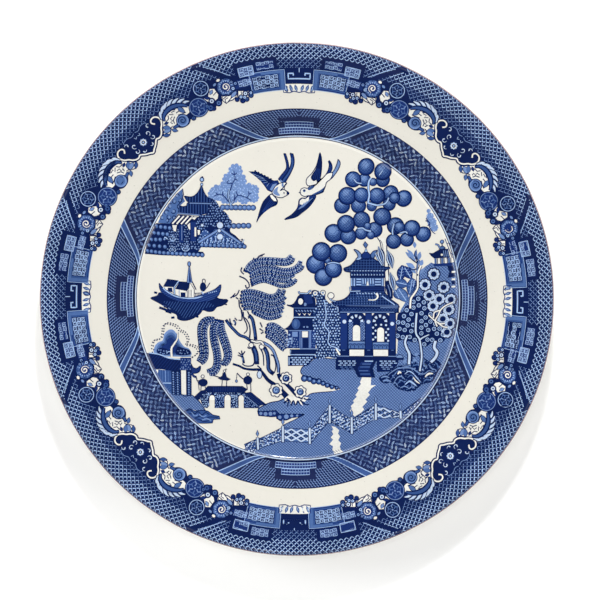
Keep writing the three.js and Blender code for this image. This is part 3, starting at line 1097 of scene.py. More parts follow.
# ---------------------------------------------------------------- the birds
def left_bird():
    """The bird that flies in from the left, its forked tail upright."""
    sheet = Print("bird_left", "centre_scene_print", 1)
    wing = [(-24.8, 66.3), (-21.0, 66.1), (-18.0, 64.6), (-15.4, 63.3), (-13.4, 62.0), (-11.8, 61.4),
            (-9.8, 61.6),
            (-9.0, 59.4), (-11.4, 58.0), (-12.4, 55.4), (-15.1, 56.7), (-16.6, 59.0), (-18.6, 61.6),
            (-21.6, 64.2)]
    outlined(sheet, "cobalt", wing, 0.5)
    sheet.area("navy", [(-24.4, 66.1), (-21, 65.9), (-15, 62.8), (-12, 60.9), (-14.5, 59.5), (-18.5, 62.2)],
               2)
    sheet.area("wash", [(-13.9, 57.0), (-12.5, 59.6), (-10.4, 60.2), (-10.8, 58.2), (-12.4, 56.0)], 2)
    for i in range(5):
        start = mix((-23.0, 65.2), (-15.6, 58.6), i / 4)
        sheet.line("wash", [start, mix(start, (-13.5, 61.4), 0.6)], 0.25, 3)
    for i in range(6):
        tip = mix((-21.5, 66.5), (-13.4, 62.4), i / 5)
        sheet.dot("navy", tip, 0.55, 1, 7)
    for outer, inner in (
        ([(-6.9, 75.5), (-6.2, 73.5), (-5.4, 70.5), (-5.6, 67.6), (-7.6, 65.0), (-9.6, 62.4)],
         [(-5.8, 75.3), (-4.9, 72.8), (-4.2, 69.8), (-4.3, 66.6), (-6.0, 63.6), (-8.0, 61.0)]),
        ([(-3.6, 75.7), (-3.0, 73.5), (-3.0, 70.4), (-4.3, 66.8), (-6.6, 63.6), (-8.2, 61.2)],
         [(-2.0, 75.3), (-1.3, 72.6), (-1.6, 69.2), (-3.3, 65.2), (-4.9, 62.4), (-6.2, 60.2)]),
    ):
        feather = curve(outer, 4) + curve(inner, 4)[::-1]
        outlined(sheet, "cobalt", feather, 0.45, 1)
    sheet.line("blue", curve([(-2.7, 73.5), (-2.3, 69.6), (-4.2, 65.4), (-7.0, 61.4), (-7.4, 58.6)], 4),
               0.9, 3)
    sheet.line("wash", curve([(-8.6, 62.0), (-7.4, 60.4), (-7.2, 58.4)], 4), 0.8, 3)
    body = curve([(-12.8, 55.2), (-11.0, 53.4), (-8.0, 52.7), (-6.0, 53.5), (-4.0, 54.9), (-5.2, 56.2),
                  (-6.4, 57.0), (-6.3, 58.6), (-5.2, 60.4), (-7.8, 60.6), (-10.8, 58.9), (-12.0, 57.2)], 4,
                  True)
    outlined(sheet, "white", body, 0.45, 2)
    sheet.area("wash", curve([(-12.3, 55.3), (-10.6, 53.9), (-8.6, 54.0), (-10.0, 56.0), (-9.6, 58.4),
                              (-11.6, 57.0)], 3, True), 4)
    sheet.line("navy", curve([(-5.4, 60.2), (-7.4, 57.6), (-8.6, 56.4)], 3), 0.5, 4)
    sheet.line("navy", curve([(-8.6, 56.4), (-6.9, 57.0), (-5.4, 56.2), (-4.0, 54.9)], 3), 0.5, 4)
    sheet.dot("navy", (-6.6, 55.2), 0.42, 4, 8)
    sheet.area("navy", [(-5.2, 55.9), (-3.9, 54.9), (-5.3, 54.3)], 4)
    lower = curve([(-15.0, 53.4), (-17.4, 50.6), (-19.0, 46.6), (-20.2, 42.4), (-20.8, 39.9), (-19.3, 42.6),
                   (-16.6, 45.4), (-13.6, 47.6), (-10.6, 49.0), (-9.9, 50.8), (-10.5, 52.4), (-12.4, 54.6),
                   (-13.6, 54.5)], 3, True)
    outlined(sheet, "navy", lower, 0.3)
    sheet.area("white", [(-13.9, 53.9), (-12.8, 54.3), (-10.9, 52.3), (-10.4, 50.9), (-11.8, 51.0),
                         (-13.2, 52.4)], 2)
    for i in range(4):
        start = mix((-13.6, 51.8), (-11.4, 50.2), i / 3)
        sheet.line("cobalt", [start, mix(start, (-19.6, 43.0), 0.72)], 0.4, 2)
    sheet.build()


def right_bird():
    """The bird that flies in from the right, wings spread to both sides."""
    sheet = Print("bird_right", "centre_scene_print", 1)
    wing = curve([(4.9, 61.2), (5.4, 62.9), (8.0, 65.6), (10.2, 69.4), (11.2, 73.0), (11.9, 75.9),
                  (12.9, 72.5),
                  (12.9, 68.0), (12.3, 63.6), (11.2, 60.2), (9.4, 59.5), (6.3, 58.9), (5.1, 59.8)], 3, True)
    outlined(sheet, "white", wing, 0.45)
    dark = curve([(11.9, 75.6), (12.8, 72.3), (12.8, 68.0), (12.3, 64.0), (12.4, 62.2), (10.7, 60.4),
                  (10.1, 61.9),
                  (8.8, 61.3), (7.4, 62.8), (7.7, 64.4), (9.8, 67.8), (11.1, 72.5)], 3, True)
    sheet.area("navy", dark, 2)
    for i in range(4):
        start = mix((8.4, 62.6), (11.6, 61.8), i / 3)
        sheet.line("cobalt", [start, mix(start, (12.2, 72.5), 0.55)], 0.35, 3)
    for outer, inner, fill in (
        ([(16.8, 72.0), (18.0, 70.4), (18.4, 68.0), (17.8, 66.2), (17.6, 63.6)],
         [(16.3, 71.6), (16.8, 69.8), (16.4, 67.4), (15.7, 65.8), (14.6, 63.8)], "cobalt"),
        ([(21.3, 72.6), (22.5, 70.8), (22.0, 68.4), (20.2, 65.4), (18.0, 62.6)],
         [(21.1, 71.4), (20.5, 69.4), (19.2, 66.8), (17.6, 65.0), (16.0, 63.6)], "wash"),
    ):
        outlined(sheet, fill, curve(outer, 4) + curve(inner, 4)[::-1], 0.45, 1)
    sheet.dot("navy", (17.2, 70.6), 0.8, 2, 8)
    body = curve([(1.7, 55.6), (2.4, 57.3), (4.0, 57.9), (5.6, 57.6), (7.0, 58.8), (9.6, 59.2), (11.4, 61.0),
                  (13.4, 62.9), (15.9, 65.3), (18.6, 65.6), (17.6, 62.5), (15.5, 60.8), (14.8, 58.6),
                  (13.7, 57.0),
                  (13.9, 55.9), (11.6, 54.8), (8.6, 54.1), (5.8, 53.8), (4.0, 53.4), (2.4, 54.2)], 3, True)
    outlined(sheet, "white", body, 0.45, 2)
    sheet.area("blue", curve([(5.7, 57.2), (7.4, 58.7), (9.7, 59.0), (11.6, 60.8), (14.6, 63.8), (12.0, 62.2),
                              (10.2, 59.8), (8.4, 57.6), (6.6, 56.7)], 3, True), 3)
    sheet.area("blue", curve([(7.8, 54.3), (10.6, 54.6), (13.4, 56.0), (14.0, 58.0), (12.6, 56.9),
                              (10.4, 55.7)], 3, True), 3)
    sheet.line("navy", curve([(10.0, 54.4), (12.4, 55.3), (13.8, 56.4), (14.7, 58.6)], 3), 0.7, 4)
    sheet.dot("blue", (3.9, 56.4), 0.75, 3, 9)
    sheet.dot("navy", (3.9, 56.5), 0.4, 4, 8)
    sheet.area("navy", [(2.1, 55.9), (0.8, 55.4), (2.1, 54.9)], 4)
    lower = curve([(6.2, 53.9), (4.6, 52.5), (2.6, 52.6), (1.2, 51.4), (0.9, 49.4), (0.1, 47.0), (-2.6, 44.0),
                   (-6.4, 41.5), (-3.4, 41.9), (0.0, 42.9), (3.0, 45.2), (6.0, 47.6), (8.6, 50.8),
                   (9.9, 53.9)], 3, True)
    outlined(sheet, "cobalt", lower, 0.45)
    sheet.area("navy", [(-6.0, 41.7), (-2.4, 43.6), (0.6, 46.6), (4.0, 47.6), (6.8, 51.0), (9.0, 53.4),
                        (8.4, 50.9),
                        (5.8, 47.9), (3.0, 45.5), (0.0, 43.2), (-3.4, 42.2)], 2)
    sheet.area("white", [(1.5, 49.4), (1.6, 51.2), (2.9, 52.3), (4.4, 52.0), (6.4, 53.4), (6.2, 51.2),
                         (4.6, 49.9), (2.9, 49.0)], 2)
    for i in range(4):
        start = mix((4.0, 50.2), (8.2, 52.6), i / 3)
        sheet.line("wash", [start, mix(start, (-2.0, 43.2), 0.5)], 0.3, 3)
    sheet.build()


# ---------------------------------------------------------------- the tree of round fruit
# Each globe is (x, y, radius, level); of two that overlap, the one on the higher level is in front.
GLOBES = (
    (35.8, 68.5, 4.2, 1), (44.4, 66.0, 4.3, 2), (29.2, 62.3, 4.1, 1), (35.0, 61.9, 3.4, 0),
    (39.5, 60.9, 2.0, 1),
    (44.5, 61.8, 3.5, 0), (26.2, 53.7, 4.6, 1), (33.6, 54.1, 4.0, 2), (41.6, 53.8, 4.2, 1),
    (48.5, 54.9, 4.1, 0),
    (50.6, 52.6, 2.9, 2), (55.3, 52.2, 4.1, 1), (23.5, 48.7, 4.1, 0), (32.0, 48.6, 3.9, 0),
    (38.9, 48.4, 2.6, 0),
    (47.9, 49.4, 3.3, 1), (44.3, 43.0, 4.6, 2), (33.6, 41.3, 4.4, 1), (25.6, 39.2, 4.6, 2),
    (51.2, 38.2, 4.4, 0),
    (53.2, 37.4, 3.0, 1), (59.7, 37.0, 4.2, 2), (65.5, 33.8, 3.9, 0), (19.2, 34.3, 4.8, 0),
    (26.7, 32.8, 4.2, 1),
    (33.4, 34.3, 3.2, 0), (40.4, 36.2, 4.0, 0), (36.7, 38.1, 1.9, 2), (38.4, 33.4, 2.1, 1),
    (50.2, 30.2, 3.9, 1),
    (57.1, 31.1, 3.6, 0), (12.8, 24.8, 4.9, 1), (21.3, 23.9, 4.8, 0), (9.8, 18.2, 4.9, 0),
    (19.0, 15.6, 4.4, 2),
    (13.8, 11.6, 4.6, 1), (16.2, 19.9, 1.6, 0),
)
GLOBE_LAYERS = 6


def globe(sheet, x, y, radius, level):
    """One round fruit: dark rimmed, cross-hatched, and lit from above."""
    base = level * GLOBE_LAYERS
    sheet.dot("navy", (x, y), radius + 0.15, base, 30)
    shades = (("cobalt", 0.0, 0.9), ("blue", 0.08, 0.82), ("mid", 0.2, 0.62), ("wash", 0.36, 0.36))
    for step, (ink, rise, size) in enumerate(shades):
        sheet.area(ink, circle((x - radius * rise * 0.4, y + radius * rise), radius * size, 26, 0.97),
                   base + 1 + step)
    disc = circle((x, y), radius - 0.7, 20)
    crown = circle((x - radius * 0.1, y + radius * 0.28), radius * 0.56, 16, 0.85)
    for lean in (45, -45):
        hatch(sheet, "cobalt", disc, lean, 1.1, 0.18, base + 5)
        hatch(sheet, "mist", crown, lean, 1.1, 0.2, base + 5)


def globe_tree():
    """The tree of globes over the main pagoda, with its light branches and trunk."""
    sheet = Print("globe_tree", "centre_scene_print", 0)
    for x, y, radius, level in GLOBES:
        globe(sheet, x, y, radius, level)
    front = 3 * GLOBE_LAYERS
    for points, width in (
        ([(38.6, 63.0), (37.4, 61.2), (37.1, 57.6), (37.6, 54.2), (37.0, 50.6), (37.6, 49.9), (41.4, 48.9)],
         0.85),
        ([(41.4, 48.9), (45.0, 49.4), (46.8, 50.8), (47.6, 52.8)], 0.7),
        ([(29.6, 62.4), (31.2, 60.6), (33.6, 60.2)], 0.5), ([(42.6, 64.2), (44.2, 66.4)], 0.5),
        ([(31.5, 36.7), (34.0, 37.1), (35.8, 36.0), (38.5, 35.4)], 0.7),
        ([(50.4, 39.2), (49.6, 36.0), (49.8, 33.6)], 0.7),
        ([(53.4, 34.4), (56.2, 35.2), (57.4, 34.3)], 0.6), ([(16.0, 18.6), (19.0, 19.2), (22.4, 18.5)], 0.5),
    ):
        cased(sheet, curve(points, 4), width, "pale", border=0.25, lift=front)
    sheet.build()


# ---------------------------------------------------------------- the island, upper left
def tiled_roof(sheet, outline, spacing=1.35, lift=0, lean=90, ink="blue", edge=None):
    """A dark roof ruled with lighter lines, with a light line along its eave if given."""
    sheet.area("navy", outline, lift)
    hatch(sheet, ink, outline, lean, spacing, 0.42, lift + 1)
    sheet.line("navy", outline, 0.45, lift + 2, True)
    if edge:
        cased(sheet, edge, 0.5, "wash", border=0.2, lift=lift + 3)


def island_pagoda():
    """The little two-roofed pagoda on the island."""
    sheet = Print("island_pagoda", "centre_scene_print", 8)
    lower = curve([(-45.4, 50.0), (-55.8, 50.0), (-57.2, 48.4), (-59.2, 47.9), (-61.0, 48.3)], 4)
    lower += [(-61.6, 44.4), (-55.0, 43.9), (-50.6, 43.7), (-46.4, 44.6)]
    tiled_roof(sheet, lower, 1.45, edge=[(-62.0, 44.5), (-50.4, 43.7)])
    upper = curve([(-49.5, 59.0), (-50.8, 56.2), (-52.6, 54.0), (-55.0, 52.9), (-58.6, 53.2)], 4)
    upper += curve([(-57.4, 51.2), (-55.5, 50.0), (-50.0, 49.9), (-45.2, 49.9), (-43.4, 51.8)], 3)
    upper += curve([(-46.2, 52.8), (-47.8, 55.0), (-49.1, 58.0)], 3)
    tiled_roof(sheet, upper, 1.5, 4, edge=[(-55.6, 49.8), (-44.2, 49.6)])
    sheet.line("navy", [(-49.5, 60.0), (-49.5, 57.4)], 1.0, 5)
    for y, radius in ((61.7, 1.25), (59.3, 0.85)):
        sheet.dot("navy", (-49.4, y), radius, 5, 14)
        sheet.dot("pale", (-49.4, y), radius * 0.62, 6, 12)
    sheet.dot("navy", (-49.2, 62.9), 0.5, 5, 8)
    awning = [(-61.6, 43.9), (-53.0, 43.2), (-58.4, 38.7), (-66.0, 38.9)]
    sheet.area("navy", awning, 0)
    for i in range(4):
        sheet.line("white", [(-64.6 + i * 2.3, 39.0), (-60.8 + i * 2.3, 43.2)], 0.8, 1)
    outlined(sheet, "white", [(-55.4, 42.6), (-53.0, 41.0), (-51.6, 42.8)], 0.35)
    outlined(sheet, "white", [(-64.8, 38.4), (-62.0, 38.6), (-62.6, 35.0), (-64.0, 35.4)], 0.4)
    outlined(sheet, "white", [(-56.9, 38.6), (-55.2, 39.8), (-55.0, 36.0), (-56.2, 36.4)], 0.35)
    sheet.area("cobalt", box(-61.0, -58.8, 29.5, 38.6), 1)
    sheet.line("wash", [(-59.6, 38.2), (-59.6, 30.6)], 0.35, 2)
    sheet.area("cobalt", box(-55.0, -52.3, 30.0, 40.2), 1)
    sheet.area("white", box(-53.0, -52.1, 32.6, 37.3), 2)
    outlined(sheet, "white", [(-51.6, 36.0), (-50.0, 36.0), (-50.2, 33.6), (-51.3, 33.2)], 0.3, 2)
    sheet.build()


def island_ground():
    """The island's bushes, in beaded rows over dark dotted leaves."""
    sheet = Print("island_ground", "centre_scene_print", 1)
    ground = [(-79.2, 22.9), (-78.4, 28.0), (-76.4, 33.0), (-73.4, 38.8), (-64.6, 39.2), (-61.0, 40.0),
              (-50.4, 43.0),
              (-44.0, 40.0), (-34.4, 38.0), (-34.6, 35.0), (-31.6, 33.0), (-29.4, 30.6), (-27.0, 28.6),
              (-27.0, 26.4),
              (-49.6, 27.0), (-51.0, 24.8), (-48.4, 24.6), (-48.2, 22.4)]
    sheet.area("navy", ground)
    thicket = [(-68.0, 25.6), (-66.4, 36.0), (-62.0, 36.0), (-60.6, 30.0), (-51.0, 30.0), (-50.2, 25.6)]
    scatter(sheet, "wash", thicket, 1.25, 0.38, 1)
    scatter(sheet, "wash", box(-58.6, -55.2, 29.5, 39.0), 1.2, 0.34, 1)
    scatter(sheet, "wash", box(-66.0, -61.0, 29.5, 36.5), 1.2, 0.34, 1)
    for centre, radius in (((-57.6, 27.0), 2.0), ((-64.4, 26.2), 1.8), ((-64.2, 32.0), 1.6)):
        sheet.line("pale", arc(centre, radius, 190, 350, 10), 0.35, 2)
        scatter(sheet, "pale", circle(centre, radius * 0.75, 10), 0.9, 0.25, 2)
    for start, end, count in (
        ((-73.2, 37.2), (-66.0, 36.8), 4), ((-74.4, 33.8), (-67.2, 33.6), 4),
        ((-75.8, 30.4), (-68.6, 30.8), 4),
        ((-77.0, 27.4), (-68.4, 27.2), 4), ((-77.8, 24.5), (-49.0, 23.0), 14),
        ((-49.2, 28.2), (-27.2, 27.4), 11),
    ):
        beads(sheet, start, end, count, 1.3, 2)
    for start, end, count in (((-38.3, 47.7), (-22.6, 47.5), 8), ((-35.2, 38.0), (-25.0, 38.2), 5)):
        beads(sheet, start, end, count, 1.55, 2)
    sheet.dot("navy", (-68.2, 31.2), 1.6, 4, 14)
    sheet.line("pale", arc((-68.4, 30.6), 1.3, 20, 110, 8), 0.55, 5)
    sheet.build()


def island_growth():
    """The pale plants behind the pagoda, the dotted tree beside it and the leafy bank."""
    sheet = Print("island_growth", "centre_scene_print", 4)
    plants = [(-72.4, 39.0), (-70.6, 43.0), (-68.4, 46.6), (-65.6, 50.6), (-62.4, 54.4), (-59.8, 56.6),
              (-59.2, 52.4),
              (-58.0, 50.6), (-60.8, 48.2), (-61.8, 44.0), (-65.6, 39.0)]
    sheet.area("mid", plants)
    for x, y, radius, start in ((-62.4, 53.0, 1.3, 0), (-63.6, 50.2, 1.5, 120), (-66.0, 47.6, 1.6, 60),
                                (-64.0, 45.4, 1.5, 200),
                                (-68.0, 44.4, 1.6, 20), (-66.2, 42.2, 1.5, 140), (-70.0, 41.6, 1.4, 80),
                                (-63.8, 42.0, 1.2, 10),
                                (-67.4, 40.6, 1.1, 250), (-60.6, 51.0, 1.2, 200), (-61.2, 47.6, 1.2, 100)):
        sheet.line("navy", spiral((x, y), radius, start, 0.9, 12, 0.4), 0.42, 1)
        sheet.dot("wash", (x, y), radius * 0.45, 1, 8)
    sheet.line("navy", [(-59.6, 56.8), (-59.0, 54.0), (-59.8, 51.0), (-61.6, 48.4)], 0.5, 1)
    tree = curve([(-47.0, 51.2), (-44.4, 52.0), (-41.6, 50.6), (-39.4, 47.0), (-36.6, 44.8), (-34.8, 41.8),
                  (-33.6, 40.6),
                  (-34.6, 38.0), (-38.6, 36.0), (-44.0, 38.4), (-49.4, 36.0), (-52.0, 38.8), (-50.6, 43.4),
                  (-46.6, 44.4)], 3, True)
    sheet.area("navy", tree)
    scatter(sheet, "mist", tree, 1.3, 0.4, 1)
    bank = curve([(-51.0, 29.6), (-50.0, 33.4), (-47.6, 36.4), (-44.6, 34.0), (-42.4, 36.4), (-38.6, 36.2),
                  (-35.0, 34.4),
                  (-33.0, 33.0), (-30.0, 30.6), (-27.4, 28.4), (-38.0, 28.6)], 3, True)
    sheet.area("blue", bank)
    for i in range(11):
        x = -50.0 + i * 2.1
        sheet.line("navy", curve([(x, 28.8), (x + 0.9, 31.2), (x + 0.2, 33.4 - 0.25 * i)], 3), 0.45, 1)
        sheet.line("pale", curve([(x + 1.0, 29.4), (x + 1.7, 31.0), (x + 1.4, 32.6 - 0.2 * i)], 3), 0.4, 1)
    scatter(sheet, "pale", bank, 1.5, 0.32, 2, 0.4)
    for points in ([(-40.4, 36.2), (-44.4, 33.6), (-51.0, 29.4)],
                   [(-39.2, 36.2), (-35.0, 33.2), (-29.2, 29.2)]):
        cased(sheet, curve(points, 4), 1.0, "mist", border=0.35, lift=3)
    for x, y, radius in ((-39.8, 38.4, 1.6), (-39.8, 32.4, 1.5), (-40.2, 35.6, 0.8), (-49.0, 38.4, 0.7)):
        sheet.dot("navy", (x, y), radius + 0.3, 5, 16)
        sheet.dot("frost", (x, y), radius, 6, 16)
    sheet.line("navy", curve([(-36.2, 37.4), (-34.6, 35.0), (-33.8, 33.2), (-31.8, 32.8), (-30.2, 30.8),
                              (-27.4, 29.0)], 4), 0.5, 2)
    sheet.build()


def mist_tree(name, lobes, twigs, ink="mist"):
    """A pale tree without outline: soft lobes with dark twigs in them."""
    sheet = Print(name, "centre_scene_print", 1)
    for i, (x, y, radius) in enumerate(lobes):
        for k in range(9):
            a = 2 * math.pi * k / 9 + i
            sheet.dot(ink, (x + math.cos(a) * radius * 0.8, y + math.sin(a) * radius * 0.8), radius * 0.3,
                      i % 4, 9)
        sheet.dot(ink, (x, y), radius * 0.92, i % 4, 20)
        scatter(sheet, "wash", circle((x, y), radius * 0.8, 16), 1.15, 0.36, 4, 0.4)
        scatter(sheet, "pale", circle((x, y), radius, 16), 1.7, 0.3, 5, 0.4)
    for points in twigs:
        sheet.line("cobalt", curve(points, 3), lambda t: 0.6 - 0.25 * t, 6)
    sheet.build()


def island_mist_tree():
    """The pale tree to the right of the island's pagoda."""
    mist_tree("island_mist_tree", (
        (-31.8, 66.4, 3.6), (-35.0, 62.2, 3.4), (-30.4, 61.6, 4.2), (-35.8, 57.2, 4.6), (-40.8, 55.4, 4.0),
        (-36.8, 53.4, 3.8),
        (-30.6, 56.2, 4.6), (-25.2, 56.0, 4.2), (-22.4, 56.6, 2.8), (-22.4, 52.9, 2.7), (-27.4, 52.6, 3.2),
        (-33.0, 52.6, 2.8),
        (-43.0, 54.4, 3.0),
    ), (
        [(-34.5, 56.4), (-33.3, 60.2), (-32.0, 62.6), (-32.6, 66.6)],
        [(-33.4, 60.2), (-36.2, 60.3), (-35.2, 61.8)],
        [(-32.1, 62.3), (-30.4, 61.8)], [(-32.4, 64.6), (-34.0, 65.4)], [(-32.4, 64.4), (-31.0, 65.6)],
        [(-33.0, 50.2), (-30.4, 54.0), (-26.0, 52.8), (-24.6, 54.6), (-23.4, 55.0)],
        [(-26.0, 52.8), (-23.4, 51.2)],
        [(-30.6, 53.8), (-31.6, 56.2)], [(-32.4, 51.8), (-32.0, 54.8)],
        [(-35.4, 50.6), (-38.2, 54.0), (-41.2, 54.2), (-43.0, 53.4)],
        [(-38.2, 54.0), (-38.6, 55.8)], [(-41.0, 54.2), (-42.0, 55.4)], [(-24.8, 54.6), (-24.9, 56.0)],
    ))
    sheet = Print("island_mist_trunk", "centre_scene_print", 7)
    cased(sheet, curve([(-35.0, 57.0), (-35.5, 53.6), (-34.6, 50.4), (-34.2, 48.6)], 4), 0.45, border=0.3,
          lift=0)
    cased(sheet, curve([(-34.2, 49.0), (-33.4, 50.4), (-32.8, 50.9)], 4), 0.45, border=0.3, lift=0)
    sheet.build()


# ---------------------------------------------------------------- the main pagoda
def dashes(sheet, ink, y, spans, width=0.5, lift=1):
    """Short level strokes, each from one x to another."""
    for x0, x1 in spans:
        sheet.line(ink, [(x0, y), (x1, y)], width, lift)


def core_leaf(sheet, start, end, width, lift=0):
    """A pointed leaf with a light rim inside its outline and a dark core with a blue vein."""
    path = [mix(start, end, i / 8) for i in range(9)]
    for ink, share, step in (("navy", 1.0, 0), ("frost", 0.8, 1), ("navy", 0.5, 2), ("wash", 0.2, 3)):
        sheet.line(ink, path, lambda t: width * share * math.sin(math.pi * min(max(t, 0.03), 0.97)),
                   lift + step)


def pagoda_top():
    """The main pagoda's finial, horned cap and upper roof, and its gallery."""
    sheet = Print("pagoda_top", "centre_scene_print", 10)
    roof = curve([(31.0, 20.9), (29.8, 19.6), (28.2, 17.9), (26.4, 16.9), (24.5, 16.2), (25.0, 14.7),
                  (27.4, 14.2)], 3)
    roof += [(45.6, 14.2), (46.4, 15.4), (48.4, 16.2), (48.2, 16.8), (45.6, 16.9), (43.6, 18.4),
             (41.6, 20.0), (39.4, 21.6), (36.0, 21.2)]
    sheet.area("navy", roof)
    hatch(sheet, "blue", roof, 90, 1.45, 0.26)
    hatch(sheet, "blue", roof, 0, 1.35, 0.26, 2)
    dashes(sheet, "pale", 14.9, [(28.2 + i * 1.45, 28.9 + i * 1.45) for i in range(12)], 0.45, 3)
    sheet.line("navy", roof, 0.5, 3, True)
    for points, ink in (
        ([(29.6, 25.9), (31.4, 25.5), (33.0, 24.1), (33.8, 22.4), (33.4, 20.9), (31.8, 20.3), (30.6, 20.9),
          (31.7, 22.2), (31.1, 24.0)], "wash"),
        ([(41.8, 25.5), (39.8, 25.1), (38.5, 23.6), (38.2, 22.2), (39.6, 21.4), (40.6, 22.8), (41.0, 24.2)],
         "mid"),
    ):
        outlined(sheet, ink, curve(points, 3, True), 0.45, 3)
    sheet.line("white", curve([(31.0, 20.9), (32.2, 21.0), (33.2, 21.6)], 3), 0.5, 5)
    outlined(sheet, "cobalt", curve([(33.4, 22.2), (34.3, 24.0), (35.9, 24.8), (37.5, 23.9), (38.5, 22.2),
                                     (36.0, 20.9)], 3, True), 0.4, 3)
    outlined(sheet, "pale", [(35.9, 26.9), (36.7, 24.7), (35.1, 24.7)], 0.45, 5)
    outlined(sheet, "mid", [(35.4, 30.1), (36.8, 28.4), (35.8, 26.6), (34.5, 28.4)], 0.5, 6)
    sheet.area("navy", box(27.6, 45.6, 11.2, 14.3), 0)
    for i in range(12):
        sheet.dot("pale", (28.6 + i * 1.45, 12.8), 0.36, 2, 7)
        sheet.line("blue", [(28.0 + i * 1.45, 13.9), (28.7 + i * 1.45, 13.4)], 0.3, 2)
    sheet.area("mid", box(28.0, 45.2, 6.8, 11.3), 0)
    sheet.line("navy", box(28.0, 45.2, 6.8, 11.3), 0.35, 1, True)
    for x in (28.5, 29.9, 44.6):
        sheet.line("white", [(x, 11.0), (x, 7.0)], 0.5, 2)
        sheet.line("navy", [(x + 0.5, 11.0), (x + 0.5, 7.0)], 0.3, 2)
    for y in (10.5, 9.1, 7.7):
        dashes(sheet, "pale", y, [(31.0, 33.4), (40.6, 43.6)], 0.5, 2)
        dashes(sheet, "navy", y - 0.65, [(30.8, 33.6), (40.4, 43.8)], 0.3, 2)
    for i in range(5):
        x = 34.3 + i * 1.3
        sheet.line("pale", [(x, 10.9), (x + 0.2, 8.2)], 0.5, 2)
        sheet.line("navy", [(x + 0.65, 10.9), (x + 0.6, 7.4)], 0.3, 2)
    sheet.area("white", [(36.1, 7.3), (37.4, 7.3), (36.8, 9.8)], 3)
    sheet.area("cobalt", box(28.2, 45.6, 4.2, 6.9), 0)
    hatch(sheet, "navy", box(28.2, 45.6, 4.2, 6.9), 0, 0.8, 0.3)
    cased(sheet, [(27.6, 6.6), (27.6, 4.2), (33.0, 4.4)], 0.4, border=0.25, lift=2)
    sheet.build()


def pagoda_roof():
    """The main pagoda's broad lower roof with the long curled eave."""
    sheet = Print("pagoda_roof", "centre_scene_print", 9)
    roof = curve([(28.0, 4.0), (26.8, 2.0), (25.0, 0.5), (22.6, -0.5), (19.6, -1.0), (18.2, -1.8),
                  (20.0, -3.5)], 3)
    roof += [(53.4, -3.9), (52.6, -2.6), (49.2, -0.2), (46.6, 2.4), (45.2, 4.6)]
    sheet.area("navy", roof)
    hatch(sheet, "blue", roof, 90, 1.4, 0.24)
    hatch(sheet, "blue", roof, 0, 1.3, 0.2, 2)
    for y in (0.6, -0.8, -2.1):
        dashes(sheet, "mid", y,
               [(22.2 + i * 1.4, 22.9 + i * 1.4) for i in range(14) if 22.2 + i * 1.4 > 26 - y], 0.45, 2)
    for i in range(9):
        x = 31.0 + i * 1.5
        sheet.line("pale", [(x, 3.6 - 0.2 * (i % 3)), (x + 0.7, 2.9)], 0.5, 3)
        sheet.line("mid", [(x + 0.4, 1.9), (x + 1.0, 1.2)], 0.4, 3)
    for i in range(4):
        start = (44.2 + i * 1.6, 1.9 - i * 1.1)
        sheet.line("pale", [start, (start[0] + 1.8, start[1] - 1.4)], 0.5, 3)
    sheet.line("white", curve([(41.2, 3.2), (42.0, 1.9), (41.6, 0.6), (40.2, -0.2), (37.2, -0.2)], 4),
               lambda t: 1.1 - 0.7 * t, 4)
    sheet.line("navy", roof, 0.5, 3, True)
    curl = spiral((17.7, 1.9), 1.7, 330, 1.02, 22, 1.6)
    sheet.area("white", curl, 1)
    sheet.line("navy", curl, 0.4, 2)
    cased(sheet, curve([(17.2, 0.4), (18.4, -0.6), (20.2, -1.0)], 4), 0.4, border=0.3, lift=2)
    beam = box(21.8, 53.0, -7.0, -3.6)
    sheet.area("navy", beam, 0)
    hatch(sheet, "blue", box(23.0, 52.0, -6.2, -4.4), 45, 1.1, 0.2)
    hatch(sheet, "blue", box(23.0, 52.0, -6.2, -4.4), -45, 1.1, 0.2)
    for y, x0, x1 in ((-3.4, 25.4, 52.6), (-4.2, 43.4, 52.4), (-6.6, 22.4, 50.6)):
        sheet.line("wash", [(x0, y), (x1, y)], 0.42, 3)
    sheet.build()


def arched_door(sheet, x, bottom, top, half):
    """A white doorway with a round head."""
    door = [(x - half, bottom), (x + half, bottom)] + arc((x, top - half), half, 0, 180, 10)
    sheet.area("white", door, 4)
    sheet.line("navy", door, 0.4, 3, True)


